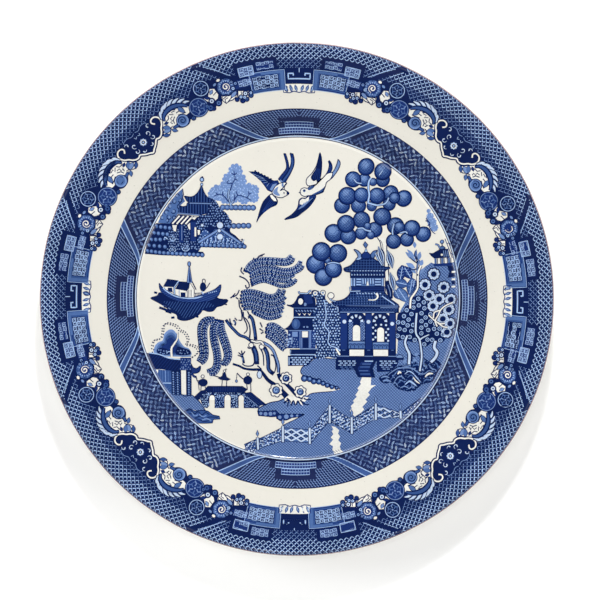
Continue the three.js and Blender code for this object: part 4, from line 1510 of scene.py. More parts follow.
def pagoda_hall():
    """The open ground storey: three columns, two flowered arches with doors, and railings."""
    sheet = Print("pagoda_hall", "centre_scene_print", 8)
    sheet.area("navy", box(22.3, 51.5, -29.6, -6.8))
    for x0, x1 in ((22.8, 26.1), (35.7, 39.0), (48.1, 51.1)):
        sheet.area("cobalt", box(x0, x1, -25.8, -7.4), 1)
        sheet.line("mid", [(x0 + 0.9, -26.3), (x1 - 0.9, -26.3)], 0.4, 1)
    for place in ((24.7, -11.5), (37.2, -11.6), (49.5, -12.6)):
        sheet.dot("frost", place, 1.0, 3, 16)
    left = box(26.9, 29.2, -21.2, -11.0), box(32.9, 35.2, -21.2, -11.0)
    for panel in left:
        sheet.area("cobalt", panel, 1)
        for lean in (45, -45):
            hatch(sheet, "wash", panel, lean, 1.0, 0.26, 2)
    arched_door(sheet, 31.0, -21.4, -13.3, 1.9)
    arched_door(sheet, 43.5, -21.9, -14.5, 1.75)
    for angle in (10, 48, 90, 132, 170):
        for x, reach in ((30.8, 3.2), (43.2, 3.2)):
            a = math.radians(angle)
            inner = (x + math.cos(a) * (reach - 0.9), -11.6 + math.sin(a) * (reach - 0.9))
            outer = (x + math.cos(a) * (reach + 0.5), -11.6 + math.sin(a) * (reach + 0.5))
            sheet.line("frost", [inner, mix(inner, outer, 0.5), outer], lambda t: 0.8 + 0.6 * t, 3)
    for x, y in ((41.0, -13.2), (43.8, -13.1), (46.3, -13.3), (39.6, -14.6), (39.6, -17.7), (39.6, -20.8),
                 (47.4, -15.3),
                 (47.4, -18.4), (47.4, -21.4), (40.9, -16.2), (40.9, -19.6), (46.3, -17.0), (46.3, -20.0)):
        sheet.dot("frost", (x, y), 0.56, 3, 9)
    for x in (26.3, 34.2, 39.0, 46.6):
        sheet.area("white", [(x, -7.1), (x + 1.3, -7.2), (x + (1.2 if x in (34.2, 46.6) else 0.1), -8.4)], 3)
    for i in range(4):
        sheet.dot("wash", (35.0, -14.0 - i * 1.9), 0.4, 3, 7)
    for x0, x1, y0, y1 in ((26.8, 35.4, -25.5, -21.7), (39.4, 47.7, -25.8, -22.2)):
        sheet.area("mid", box(x0, x1, y0, y1), 4)
        sheet.line("navy", box(x0, x1, y0, y1), 0.3, 5, True)
        sheet.line("wash", [(x0 + 0.3, y1 - 0.5), (x1 - 0.3, y1 - 0.5)], 0.45, 5)
        for i in range(4):
            middle = (x0 + 1.1 + i * (x1 - x0 - 2.2) / 3, y1 - 2.3)
            sheet.line("navy", arc(middle, 0.95, 10, 170, 8), 0.35, 5)
            sheet.line("navy", [(middle[0], y0 + 0.4), (middle[0], y1 - 2.0)], 0.35, 5)
    for x0, x1 in ((27.3, 35.0), (39.7, 47.4)):
        outlined(sheet, "white", box(x0, x1, -29.5, -25.9), 0.35, 5)
    sheet.build()


def pagoda_base():
    """The terrace: slab, brick footing and the flared steps."""
    sheet = Print("pagoda_base", "centre_scene_print", 9)
    sheet.area("navy", box(20.2, 55.4, -31.4, -29.5))
    sheet.line("wash", [(21.0, -29.4), (54.8, -29.5)], 0.4, 2)
    sheet.area("navy", [(20.2, -31.2), (33.4, -31.2), (30.2, -36.6), (20.2, -36.4)])
    for row, shift in enumerate((0.0, 0.8, 0.0, 0.9, 1.6)):
        y = -32.0 - row * 1.03
        spans = [(21.6 + shift + i * 2.4, 23.2 + shift + i * 2.4) for i in range(4)]
        dashes(sheet, "pale" if row < 3 else "mid", y, [s for s in spans if s[1] < 32.6 - row * 0.5], 0.5)
        spans = [(43.0 + shift + i * 2.2, 44.5 + shift + i * 2.2) for i in range(4 - row // 2)]
        dashes(sheet, "white" if row < 3 else "wash", y, spans, 0.5, 2)
    sheet.area("navy", [(41.4, -31.2), (53.0, -31.2), (52.0, -34.4), (48.0, -37.4), (41.6, -37.6)])
    steps = [(31.8, -31.2), (41.6, -31.2), (39.2, -35.8), (40.6, -40.3), (31.8, -40.1), (29.8, -35.6)]
    outlined(sheet, "navy", steps, 0.5, 2)
    sheet.area("cobalt", [(33.4, -32.4), (39.2, -32.4), (37.6, -36.0), (38.6, -39.6), (33.0, -39.6),
                          (31.6, -35.8)], 4)
    dashes(sheet, "white", -32.0, [(35.2, 39.6)], 0.55, 5)
    dashes(sheet, "mid", -33.5, [(34.0, 38.4)], 0.5, 5)
    dashes(sheet, "blue", -35.0, [(32.8, 38.0)], 1.0, 5)
    dashes(sheet, "mid", -37.0, [(32.4, 37.0)], 0.45, 5)
    dashes(sheet, "blue", -38.7, [(33.0, 38.0)], 0.8, 5)
    for y in (-34.2, -36.1, -37.9):
        dashes(sheet, "navy", y, [(32.2, 38.4)], 0.4, 6)
    sheet.build()


def pagoda_trunk():
    """The globe tree's trunk behind the pagoda's right side, with its pointed leaves."""
    sheet = Print("pagoda_trunk", "centre_scene_print", 5)
    left = curve([(41.4, 32.6), (43.2, 29.8), (43.9, 26.4), (45.3, 24.0), (45.5, 18.0), (45.8, 12.0),
                  (46.0, 4.0)], 4)
    right = curve([(47.6, 31.4), (46.7, 28.0), (46.8, 24.0), (47.4, 20.0), (47.6, 14.0), (48.4, 8.0),
                   (49.6, 0.6)], 4)
    sheet.area("white", left + right[::-1])
    sheet.line("navy", left, 0.5, 1)
    sheet.line("navy", right, 0.55, 1)
    sheet.line("navy", curve([(43.2, 31.0), (44.4, 28.6), (44.8, 24.8)], 4), 0.3, 1)
    sheet.area("navy", curve([(46.2, 9.6), (48.4, 9.2), (49.6, 5.0), (49.8, 1.4), (48.6, 0.2), (47.0, 2.6),
                              (46.2, 6.0)], 3, True), 2)
    sheet.line("wash", curve([(47.2, 7.6), (48.4, 4.0), (48.6, 1.6)], 3), 0.4, 3)
    sheet.build()
    leaves = Print("pagoda_leaves", "centre_scene_print", 17)
    core_leaf(leaves, (42.3, 27.6), (45.0, 18.0), 3.6)
    core_leaf(leaves, (47.0, 25.6), (49.7, 16.2), 4.2)
    core_leaf(leaves, (48.4, 14.2), (50.6, 4.0), 3.8)
    cased(leaves, [(40.6, 24.2), (42.2, 20.8), (44.4, 17.6)], 0.45, border=0.3)
    leaves.build()


# ---------------------------------------------------------------- the land and the right bank
def land(sheet, outline, lift=0):
    """Level ground, washed in and finely cross-hatched."""
    sheet.area("wash", outline, lift)
    hatch(sheet, "mid", outline, 45, 1.1, 0.36, lift + 1)
    hatch(sheet, "cobalt", outline, -45, 1.1, 0.26, lift + 2)


def rim_arc(start, end, steps=24, radius=SCENE_EDGE):
    """Points round the edge of the scene between two angles clockwise from the top."""
    return [polar(start + (end - start) * i / steps, radius) for i in range(steps + 1)]


def banks():
    """The hatched ground of the right bank, from the flowers down to the fence."""
    sheet = Print("land", "centre_scene_print", 0)
    outline = [(62.0, 8.0), (63.4, 14.2), (66.0, 16.6), (69.6, 19.2), (72.0, 18.4)] + rim_arc(77, 199.4, 44)
    outline += [(-21.2, -73.0), (-8.4, -67.2), (-6.6, -65.2), (-1.0, -62.5), (3.9, -59.8), (-9.0, -59.6),
                (-19.8, -58.4),
                (-20.2, -56.8), (-16.2, -54.6), (-12.8, -53.4), (-9.4, -52.8), (-6.6, -51.2), (-4.0, -50.2),
                (3.6, -50.6),
                (6.2, -49.5), (9.0, -48.6), (14.0, -48.2), (18.0, -47.8), (22.6, -46.6), (18.8, -45.2),
                (14.6, -43.4),
                (9.6, -41.4), (4.6, -39.6), (2.4, -38.8), (2.0, -37.2), (3.2, -34.9), (6.0, -33.8),
                (9.4, -30.6),
                (20.4, -30.8), (52.0, -28.0), (53.6, -6.0)]
    land(sheet, outline)
    edge = Print("land_edge", "centre_scene_print", 3)
    edge.line("navy", curve([(20.4, -31.0), (9.4, -30.6), (6.0, -33.8), (3.2, -34.9), (2.0, -37.2),
                             (2.6, -39.0)], 4), 0.45)
    edge.line("navy", curve([(18.6, -47.8), (9.0, -48.6), (6.2, -49.7), (6.0, -51.0)], 4), 0.45)
    edge.line("navy", curve([(-6.4, -51.4), (-9.4, -52.8), (-12.8, -53.4), (-16.2, -54.6), (-20.0, -57.0),
                             (-19.2, -58.6)], 4), 0.5)
    edge.line("navy", curve([(3.9, -59.8), (-1.0, -62.5), (-6.6, -65.2), (-8.4, -67.2)], 4), 0.4)
    for x, y, radius in ((3.9, -41.1, 1.5), (6.6, -41.4, 1.3), (8.8, -42.6, 1.3), (11.4, -42.6, 1.4),
                         (13.6, -43.6, 1.1),
                         (15.8, -44.6, 1.1), (18.2, -45.4, 1.0), (20.6, -45.9, 0.8)):
        edge.dot("navy", (x, y), radius + 0.3, 0, 14)
        edge.dot("blue", (x, y), radius - 0.2, 1, 12)
        edge.dot("mist", (x + 0.2, y + 0.2), radius * 0.45, 2, 9)
    edge.line("navy", curve([(2.8, -39.4), (6.0, -40.2), (9.6, -41.4), (14.6, -43.6), (19.4, -45.0),
                             (22.4, -46.4)], 4), 0.7, 1)
    edge.build()
    sheet.build()


FLOWERS = ((73.8, 0.2), (68.6, 2.2), (70.6, -3.4), (75.6, -10.2), (77.6, -17.3), (79.3, -12.9),
           (78.6, -5.6), (79.6, -0.4),
           (71.0, 13.2), (66.5, 7.7), (76.0, 6.2))
FRUIT = ((63.0, 0.4), (60.5, -1.2), (65.9, -1.4), (63.3, -3.0), (60.5, -4.2), (57.0, -5.5), (66.2, -4.5),
         (64.7, -7.1),
         (59.5, -7.5), (69.3, -7.6), (55.6, -8.6), (66.8, -9.3), (58.0, -10.4), (64.7, -11.2),
         (69.3, -11.4), (52.6, -11.8),
         (55.2, -12.0), (57.5, -13.4), (60.3, -13.2), (71.8, -12.6), (67.0, -13.2), (64.6, -14.6),
         (53.3, -15.2),
         (56.0, -15.8), (68.2, -15.8), (74.0, -15.2), (71.2, -15.2), (59.4, -16.4), (64.6, -17.5),
         (72.6, -17.8), (75.6, -18.4),
         (52.3, -18.8), (55.0, -19.5), (58.6, -19.4), (61.2, -21.0), (67.8, -20.8), (70.2, -20.9),
         (74.3, -21.4), (66.1, -23.2))


def bank_flowers():
    """The big dark-eyed flowers at the scene's right edge."""
    sheet = Print("bank_flowers", "centre_scene_print", 5)
    for i, (x, y) in enumerate(FLOWERS):
        base = 5 * (i // 8)
        radius = min(3.0, SCENE_EDGE - math.hypot(x, y))
        if radius < 1.6:
            continue
        for k in range(9):
            a = 2 * math.pi * k / 9
            sheet.dot("navy", (x + math.cos(a) * radius * 0.74, y + math.sin(a) * radius * 0.74),
                      radius * 0.46, base, 10)
            sheet.dot("frost", (x + math.cos(a) * radius * 0.68, y + math.sin(a) * radius * 0.68),
                      radius * 0.3, base + 1, 10)
        sheet.dot("navy", (x, y), radius * 0.9, base, 18)
        sheet.dot("frost", (x, y), radius * 0.72, base + 2, 16)
        for k in range(14):
            a = 2 * math.pi * k / 14
            ends = [(x + math.cos(a) * radius * s, y + math.sin(a) * radius * s) for s in (0.5, 0.8)]
            sheet.line("wash", ends, 0.24, base + 3)
        sheet.dot("navy", (x, y), radius * 0.5, base + 3, 14)
    for points in (
        [(80.6, -2.0), (77.0, -3.4), (74.6, -5.4), (73.4, -8.0), (71.8, -11.0), (72.8, -14.0)],
        [(74.4, -5.6), (71.4, -6.6), (70.8, -9.6)],
        [(68.4, -8.0), (71.2, -10.6), (74.2, -12.6), (76.6, -12.6)],
        [(73.0, -12.0), (75.6, -14.2), (78.0, -14.8)],
    ):
        cased(sheet, curve(points, 4), 0.7, border=0.35, lift=11)
    sheet.build()


def fruit_tree():
    """The tree of ringed fruit beside the pagoda, on wavy pale trunks."""
    sheet = Print("fruit_tree", "centre_scene_print", 3)
    crown = curve([(52.2, -8.0), (55.0, -6.4), (56.4, -3.4), (59.2, -2.6), (59.6, 0.6), (63.2, 2.2),
                   (66.6, 0.6), (68.6, -4.0),
                   (72.0, -6.6), (73.0, -11.0), (76.0, -14.6), (77.2, -18.8), (75.4, -22.6), (71.0, -21.8),
                   (66.6, -24.6),
                   (63.0, -21.6), (60.4, -22.2), (55.6, -21.0), (51.8, -20.2)], 3, True)
    sheet.area("navy", crown)
    for x, y in FRUIT:
        sheet.dot("navy", (x, y), 1.45, 2, 16)
        sheet.dot("pale", (x, y), 1.08, 3, 14)
        sheet.dot("navy", (x, y), 0.72, 4, 10)
        sheet.dot("white", (x + 0.1, y), 0.26, 5, 7)
    for points, start, end in (
        ([(62.2, -7.0), (61.8, -12.0), (61.8, -17.4), (63.6, -20.6), (64.4, -25.0), (64.8, -30.0),
          (63.8, -37.2)], 0.9, 0.8),
        ([(63.8, -20.9), (65.6, -19.6), (68.6, -18.2)], 0.8, 0.5),
        ([(57.4, -18.6), (56.2, -22.0), (57.0, -25.2), (58.4, -28.4), (58.2, -33.6)], 0.9, 1.3),
        ([(71.9, -21.6), (71.2, -25.0), (72.6, -27.6), (71.7, -30.4), (69.4, -32.8)], 1.3, 1.4),
    ):
        cased(sheet, curve(points, 4), lambda t: start + (end - start) * t, "frost", border=0.5, lift=6)
    outlined(sheet, "wash", arc((53.4, -30.4), 1.8, 0, 180, 12), 0.4, 6)
    sheet.build()


def oval_leaves():
    """The outlined leaves and pale twigs between pagoda and flowers."""
    sheet = Print("oval_leaves", "centre_scene_print", 8)
    for start, end, width, fill in (
        ((54.9, 17.8), (53.6, 9.8), 4.4, "cobalt"), ((51.2, 9.0), (57.6, 7.6), 4.8, "blue"),
        ((55.6, 17.2), (59.4, 10.8), 4.6, "cobalt"),
        ((60.0, 11.2), (58.4, 2.4), 4.2, "blue"), ((52.4, 6.0), (57.2, -1.2), 5.2, "mid"),
        ((61.0, 10.6), (60.4, 6.0), 2.8, "cobalt"),
        ((50.8, 5.0), (53.2, 0.2), 3.6, "blue"),
    ):
        path = [mix(start, end, i / 10) for i in range(11)]
        for ink, extra, step in (("navy", 0.45, 0), (fill, -0.45, 1)):
            sheet.line(ink, path, lambda t: max(0.1,
                                                (width + extra) * math.sin(math.pi * min(max(t, 0.04),
                                                    0.96)) ** 0.7), step)
        sheet.line("pale", path[1:-1], 0.35, 2)
        for k in (3, 5, 7):
            for side in (1, -1):
                across = (path[k][0] + side * width * 0.3, path[k][1] + 0.7)
                sheet.line("wash", [path[k], across], 0.26, 2)
    trunk = [(64.4, 17.6), (63.0, 14.2), (62.8, 10.0), (62.6, 6.0), (60.8, 2.8), (59.2, 0.4), (58.8, -4.6)]
    cased(sheet, curve(trunk, 4), 0.9, border=0.35, lift=3)
    cased(sheet, curve([(63.4, 20.6), (62.4, 16.6), (62.8, 13.0)], 4), 0.35, "mist", border=0.3, lift=3)
    sheet.dot("navy", (62.6, 12.8), 0.5, 5, 8)
    for start, end, width, ink in (
        ((56.4, 24.6), (61.6, 20.2), 2.2, "wash"), ((57.2, 26.0), (61.0, 22.2), 1.6, "mist"),
        ((61.0, 30.0), (61.2, 26.8), 1.9, "mist"),
        ((64.0, 24.8), (63.0, 20.4), 2.2, "wash"), ((65.2, 20.6), (63.8, 17.4), 2.4, "mist"),
        ((56.8, 18.8), (61.2, 16.4), 2.6, "mist"),
        ((62.0, 26.0), (61.4, 20.8), 1.4, "mid"), ((66.4, 16.4), (63.4, 13.2), 1.8, "wash"),
        ((59.0, 16.4), (61.8, 13.6), 1.8, "wash"),
    ):
        path = [mix(start, end, i / 6) for i in range(7)]
        sheet.line(ink, path, lambda t: max(0.1, width * math.sin(math.pi * min(max(t, 0.05), 0.95))), 0)
    for points in ([(62.7, 14.0), (62.4, 20.0), (61.0, 23.0), (61.5, 25.4)],
                   [(62.4, 19.0), (60.2, 20.4), (58.6, 22.0)],
                   [(62.6, 20.6), (62.0, 22.6)], [(62.3, 16.0), (60.0, 15.4), (58.4, 16.8)]):
        sheet.line("navy", curve(points, 3), lambda t: 0.75 - 0.4 * t, 2)
    sheet.build()


def rock_mound():
    """The dark rocks under the fruit trees, drawn in wavering contours."""
    sheet = Print("rock_mound", "centre_scene_print", 5)
    outline = curve([(42.6, -41.0), (44.0, -39.6), (47.2, -38.4), (49.6, -36.2), (53.0, -34.4),
                     (58.0, -33.6), (62.0, -33.0),
                     (64.6, -34.4), (67.0, -31.6), (69.6, -32.6), (72.2, -31.6), (74.8, -34.6),
                     (72.6, -38.6), (70.2, -43.2),
                     (66.0, -44.0), (63.0, -45.8), (60.4, -47.8), (55.4, -47.4), (51.4, -45.6),
                     (49.2, -43.6), (44.6, -43.4)], 3, True)
    sheet.area("navy", outline)
    scatter(sheet, "mid", outline, 1.9, 0.32, 1, 0.4)
    scatter(sheet, "mist", outline, 3.1, 0.34, 2, 0.5)
    for points, ink, width in (
        ([(43.8, -40.6), (45.8, -39.9), (48.0, -40.6)], "wash", 0.7),
        ([(44.6, -42.3), (46.8, -41.9), (49.0, -42.6)], "wash", 0.8),
        ([(47.4, -39.2), (49.6, -37.4), (52.4, -35.8), (56.2, -35.4), (60.0, -35.8), (63.4, -38.2),
          (66.0, -38.8), (68.4, -37.2), (71.2, -38.2)], "wash", 0.55),
        ([(49.2, -41.2), (50.8, -38.8), (52.6, -37.0), (55.0, -37.4)], "mid", 0.5),
        ([(52.4, -38.8), (53.2, -37.6), (54.2, -38.2)], "white", 0.9),
        ([(50.6, -42.8), (52.4, -40.4), (54.4, -40.0), (56.2, -41.6)], "wash", 0.5),
        ([(52.0, -44.2), (54.0, -42.0), (56.0, -43.2)], "mid", 0.5),
        ([(56.0, -38.8), (58.2, -37.2), (60.6, -38.6), (62.8, -41.4), (64.4, -43.4)], "pale", 0.5),
        ([(57.4, -40.6), (59.4, -39.2), (61.0, -41.2)], "mid", 0.5),
        ([(56.2, -44.2), (58.4, -42.4), (60.4, -43.6), (62.2, -45.4)], "pale", 0.8),
        ([(53.6, -46.0), (56.0, -45.0), (58.4, -46.4)], "wash", 0.5),
        ([(60.4, -40.2), (61.8, -42.4), (63.6, -43.9)], "white", 0.6),
        ([(58.0, -46.6), (59.6, -45.4), (61.2, -46.4)], "mist", 0.5),
        ([(66.4, -40.6), (68.0, -38.9), (70.4, -38.9)], "white", 0.9),
        ([(65.6, -43.0), (67.2, -41.8), (69.4, -42.6)], "mid", 0.7),
        ([(60.0, -34.6), (62.6, -33.8), (64.2, -35.4)], "mid", 0.5),
        ([(65.6, -33.0), (67.2, -34.4), (66.6, -36.2)], "wash", 0.6),
        ([(68.6, -34.0), (69.6, -36.0), (72.0, -37.0)], "wash", 0.6),
        ([(71.4, -32.8), (72.8, -34.6), (73.0, -36.6)], "mid", 0.5),
        ([(54.6, -34.4), (57.4, -34.6), (59.0, -34.0)], "wash", 0.5),
        ([(66.0, -37.0), (64.6, -36.2), (63.4, -36.8)], "pale", 0.4),
        ([(49.8, -44.0), (51.2, -43.2), (52.6, -45.4)], "wash", 0.45),
        ([(68.6, -40.6), (69.6, -41.4), (70.4, -40.6)], "mist", 0.5),
    ):
        sheet.line(ink, curve(points, 3), lambda t: width * (0.5 + 0.7 * math.sin(math.pi * t)), 1)
    for points in ([(58.6, -27.0), (60.6, -29.4), (63.6, -29.0), (64.4, -32.4)],
                   [(60.4, -30.6), (61.6, -33.0), (60.6, -35.0)],
                   [(66.0, -30.6), (68.6, -32.8), (69.4, -35.4)], [(59.8, -28.6), (59.6, -32.0)]):
        sheet.line("navy", curve(points, 4), 0.7, -1)
    for x, y in ((56.0, -32.0), (61.2, -31.4), (66.4, -34.2), (62.0, -28.6)):
        sheet.dot("wash", (x, y), 0.9, 1, 10)
    sheet.build()


def far_bank():
    """The small roof, columns and leaves that the scene's right edge cuts off."""
    sheet = Print("far_bank", "centre_scene_print", 6)
    roof = curve([(68.6, 24.2), (70.4, 23.9), (72.6, 25.0), (74.2, 25.8)], 3) + [(78.0, 25.6), (79.0, 21.4),
        (71.2, 21.4), (69.8, 22.6)]
    outlined(sheet, "navy", roof, 0.3)
    for i in range(3):
        sheet.line("wash", [(75.8 + i, 25.0), (76.2 + i, 21.8)], 0.4, 2)
    sheet.dot("white", (75.0, 22.9), 0.6, 2, 8)
    outlined(sheet, "mid", curve([(73.6, 26.0), (75.0, 27.4), (76.8, 26.2)], 4) + [(75.2, 25.6)], 0.4, 2)
    cased(sheet, curve([(71.6, 28.5), (73.0, 28.0), (74.0, 26.4)], 4), 0.5, "mist", border=0.25, lift=2)
    sheet.line("navy", [(75.0, 28.6), (75.1, 27.0)], 0.5, 2)
    outlined(sheet, "mist", circle((75.0, 29.5), 0.9, 14), 0.4, 2)
    for i in range(5):
        sheet.line("white" if i % 2 else "mid", [(71.8 + i * 1.7, 21.2), (71.9 + i * 1.7, 18.4)], 1.0, 0)
        sheet.line("navy", [(72.7 + i * 1.7, 21.2), (72.8 + i * 1.7, 18.4)], 0.4, 1)
    sheet.area("cobalt", [(70.8, 18.5), (80.2, 18.5), (80.6, 17.0), (71.4, 17.2)], 2)
    outlined(sheet, "navy", [(77.8, 17.0), (80.6, 16.8), (81.6, 11.4), (78.0, 11.0), (79.0, 13.8)], 0.3, 2)
    for y in (13.8, 10.0, 6.2):
        sheet.line("white", [(80.0, y), (81.8, y)], 0.9, 4)
    sheet.area("navy", [(79.8, 9.2), (81.6, 9.2), (81.8, 7.4), (80.2, 7.4)], 3)
    for points in ([(76.4, 31.0), (77.6, 28.0), (79.0, 24.4), (80.2, 21.0)],
                   [(77.4, 28.4), (78.8, 28.6), (79.2, 27.2)],
                   [(78.4, 26.0), (77.6, 24.6)], [(79.4, 23.4), (80.8, 22.6)], [(79.0, 22.0), (77.4, 20.8)]):
        sheet.line("cobalt", curve(points, 3), 0.4, 3)
    sheet.build()
    mist_tree("far_leaves", ((68.8, 42.6, 1.8), (69.8, 39.6, 2.2), (71.0, 36.8, 1.9), (68.0, 45.4, 1.0)), (
        [(66.6, 40.6), (68.6, 39.6), (68.6, 37.4), (70.0, 35.0), (71.6, 33.6)],
        [(68.4, 38.6), (67.6, 38.0)], [(66.8, 41.8), (68.0, 40.2)],
    ))


# ---------------------------------------------------------------- the middle house and its dotted tree
def middle_house():
    """The small two-storey house between willow and main pagoda."""
    sheet = Print("middle_house", "centre_scene_print", 6)
    top = curve([(-5.0, -2.6), (-3.2, -2.8), (-1.6, -2.0), (-0.4, -0.3), (0.4, 1.4), (1.8, 2.8)], 3)
    top += [(7.8, 3.0), (9.6, 0.4), (10.0, -4.4), (-2.0, -4.4), (-5.2, -3.2)]
    sheet.area("navy", top)
    sheet.area("cobalt", [(3.4, 2.4), (7.4, 2.4), (8.6, -2.0), (4.6, -2.6)], 1)
    sheet.area("white", circle((2.0, -1.1), 1.25, 16, 1.3), 2)
    sheet.area("wash", circle((4.4, -2.6), 0.7, 12, 1.3), 2)
    cased(sheet, curve([(1.1, 4.3), (1.4, 3.2), (3.0, 3.1), (5.6, 3.1), (6.6, 4.3), (7.6, 4.4)], 3), 0.45,
          border=0.3, lift=2)
    storey = box(-1.7, 9.8, -10.0, -4.3)
    sheet.area("navy", storey)
    dashes(sheet, "mid", -4.5, [(-1.6, 9.6)], 0.45)
    dashes(sheet, "pale", -9.3, [(-1.6, 9.6)], 0.45)
    for i in range(7):
        sheet.line("wash", [(-0.6 + i * 1.5, -5.6), (0.2 + i * 1.5, -6.4)], 0.55, 1)
    for x in (0.4, 3.0, 5.6):
        sheet.area("white", [(x, -7.1), (x + 1.1, -8.4), (x + 1.9, -7.1), (x + 1.1, -7.7)], 1)
    eave = curve([(-2.0, -10.0), (-2.8, -11.8), (-4.2, -13.8), (-6.2, -15.2), (-8.2, -15.0)], 3)
    sheet.area("navy", eave + [(-4.8, -16.0), (9.8, -16.0), (9.8, -10.0)], 1)
    sheet.area("blue", circle((-0.4, -12.8), 2.2, 20, 1.2), 2)
    sheet.area("mid", circle((-0.7, -12.6), 0.9, 14, 2.0), 3)
    dashes(sheet, "wash", -14.3, [(3.4, 4.2), (5.0, 6.0)], 0.8, 2)
    sheet.area("cobalt", box(-4.6, 9.8, -25.4, -15.9), 1)
    dashes(sheet, "wash", -16.2, [(-4.0, 7.8)], 0.45, 2)
    outlined(sheet, "white", box(2.4, 5.9, -19.8, -16.5), 0.3, 3)
    sheet.area("navy", box(3.3, 6.0, -25.2, -20.4), 3)
    for x in (1.7, 2.6, 6.5, 7.2):
        sheet.line("mist", [(x, -16.4), (x, -25.2)], 0.42, 3)
    sheet.area("mist", box(-2.4, 0.5, -19.4, -16.8), 2)
    for x, y in ((-4.2, -22.0), (-3.4, -20.4), (-4.6, -23.6), (-5.2, -21.0), (-3.8, -18.4)):
        sheet.dot("pale", (x, y), 0.55, 2, 8)
    scatter(sheet, "wash", box(-4.6, 1.0, -25.2, -20.0), 1.3, 0.36, 2)
    sheet.line("pale", [(-2.5, -19.6), (-2.5, -23.0)], 0.4, 3)
    scatter(sheet, "mid", box(7.4, 9.8, -24.6, -17.4), 1.2, 0.36, 2)
    dashes(sheet, "wash", -25.7, [(1.6, 11.0)], 0.5, 3)
    sheet.area("navy", box(-3.6, 11.0, -28.3, -25.9), 1)
    cased(sheet, [(-3.2, -26.4), (-3.2, -28.7), (9.4, -28.7)], 0.45, border=0.25, lift=2)
    brick = [(-4.6, -29.2), (10.6, -29.2), (8.6, -31.2), (5.4, -34.4), (-4.6, -34.6)]
    sheet.area("navy", brick)
    for row in range(4):
        x = -3.2 + 0.8 * (row % 2)
        spans = [(x + i * 2.0, x + i * 2.0 + 1.45) for i in range(7)]
        dashes(sheet, "pale", -30.3 - row * 1.12, [s for s in spans if s[1] < 9.6 - row * 1.3], 0.6)
    sheet.line("white", [(-4.0, -30.0), (-4.0, -34.0)], 0.5, 1)
    sheet.build()


def dotted_tree():
    """The dark tree covered in white leaf specks, with its wandering white trunk."""
    sheet = Print("dotted_tree", "centre_scene_print", 7)
    outline = curve([(8.0, 4.6), (10.2, 4.8), (12.0, 3.8), (13.8, 4.9), (14.9, 3.4), (14.8, 0.6),
                     (16.2, -1.2), (18.2, -2.8),
                     (21.6, -3.6), (21.8, -7.0), (22.6, -9.0), (22.6, -28.0), (20.0, -30.6), (16.4, -29.8),
                     (12.0, -31.2),
                     (9.6, -29.4), (10.4, -25.0), (8.6, -20.0), (8.4, -10.4), (10.0, -3.0), (9.8, 0.6),
                     (7.6, 2.4)], 3, True)
    sheet.area("navy", outline)
    scatter(sheet, "blue", outline, 0.95, 0.3, 1, 0.4)
    scatter(sheet, "pale", outline, 1.42, 0.42, 2, 0.2, 6)
    for centre in ((9.6, 3.2), (13.6, 3.5)):
        sheet.dot("navy", centre, 1.5, 2, 14)
        sheet.dot("white", centre, 1.15, 3, 14)
        sheet.dot("wash", centre, 0.55, 4, 10)
    for points, width in (
        ([(14.2, -0.8), (15.0, -5.0), (15.2, -9.6), (14.3, -13.4), (16.6, -16.6), (16.6, -19.6),
          (16.2, -22.0), (17.4, -24.0), (20.4, -25.0), (22.4, -26.4)], 0.55),
        ([(17.9, -16.6), (16.8, -17.6), (16.4, -19.4)], 0.5),
        ([(17.6, -1.8), (19.4, -3.4), (21.2, -4.2), (21.4, -6.4)], 0.45),
        ([(20.4, -25.4), (21.4, -27.2), (22.4, -28.8)], 0.9),
    ):
        cased(sheet, curve(points, 4), width, border=0.25, lift=2)
    sheet.build()


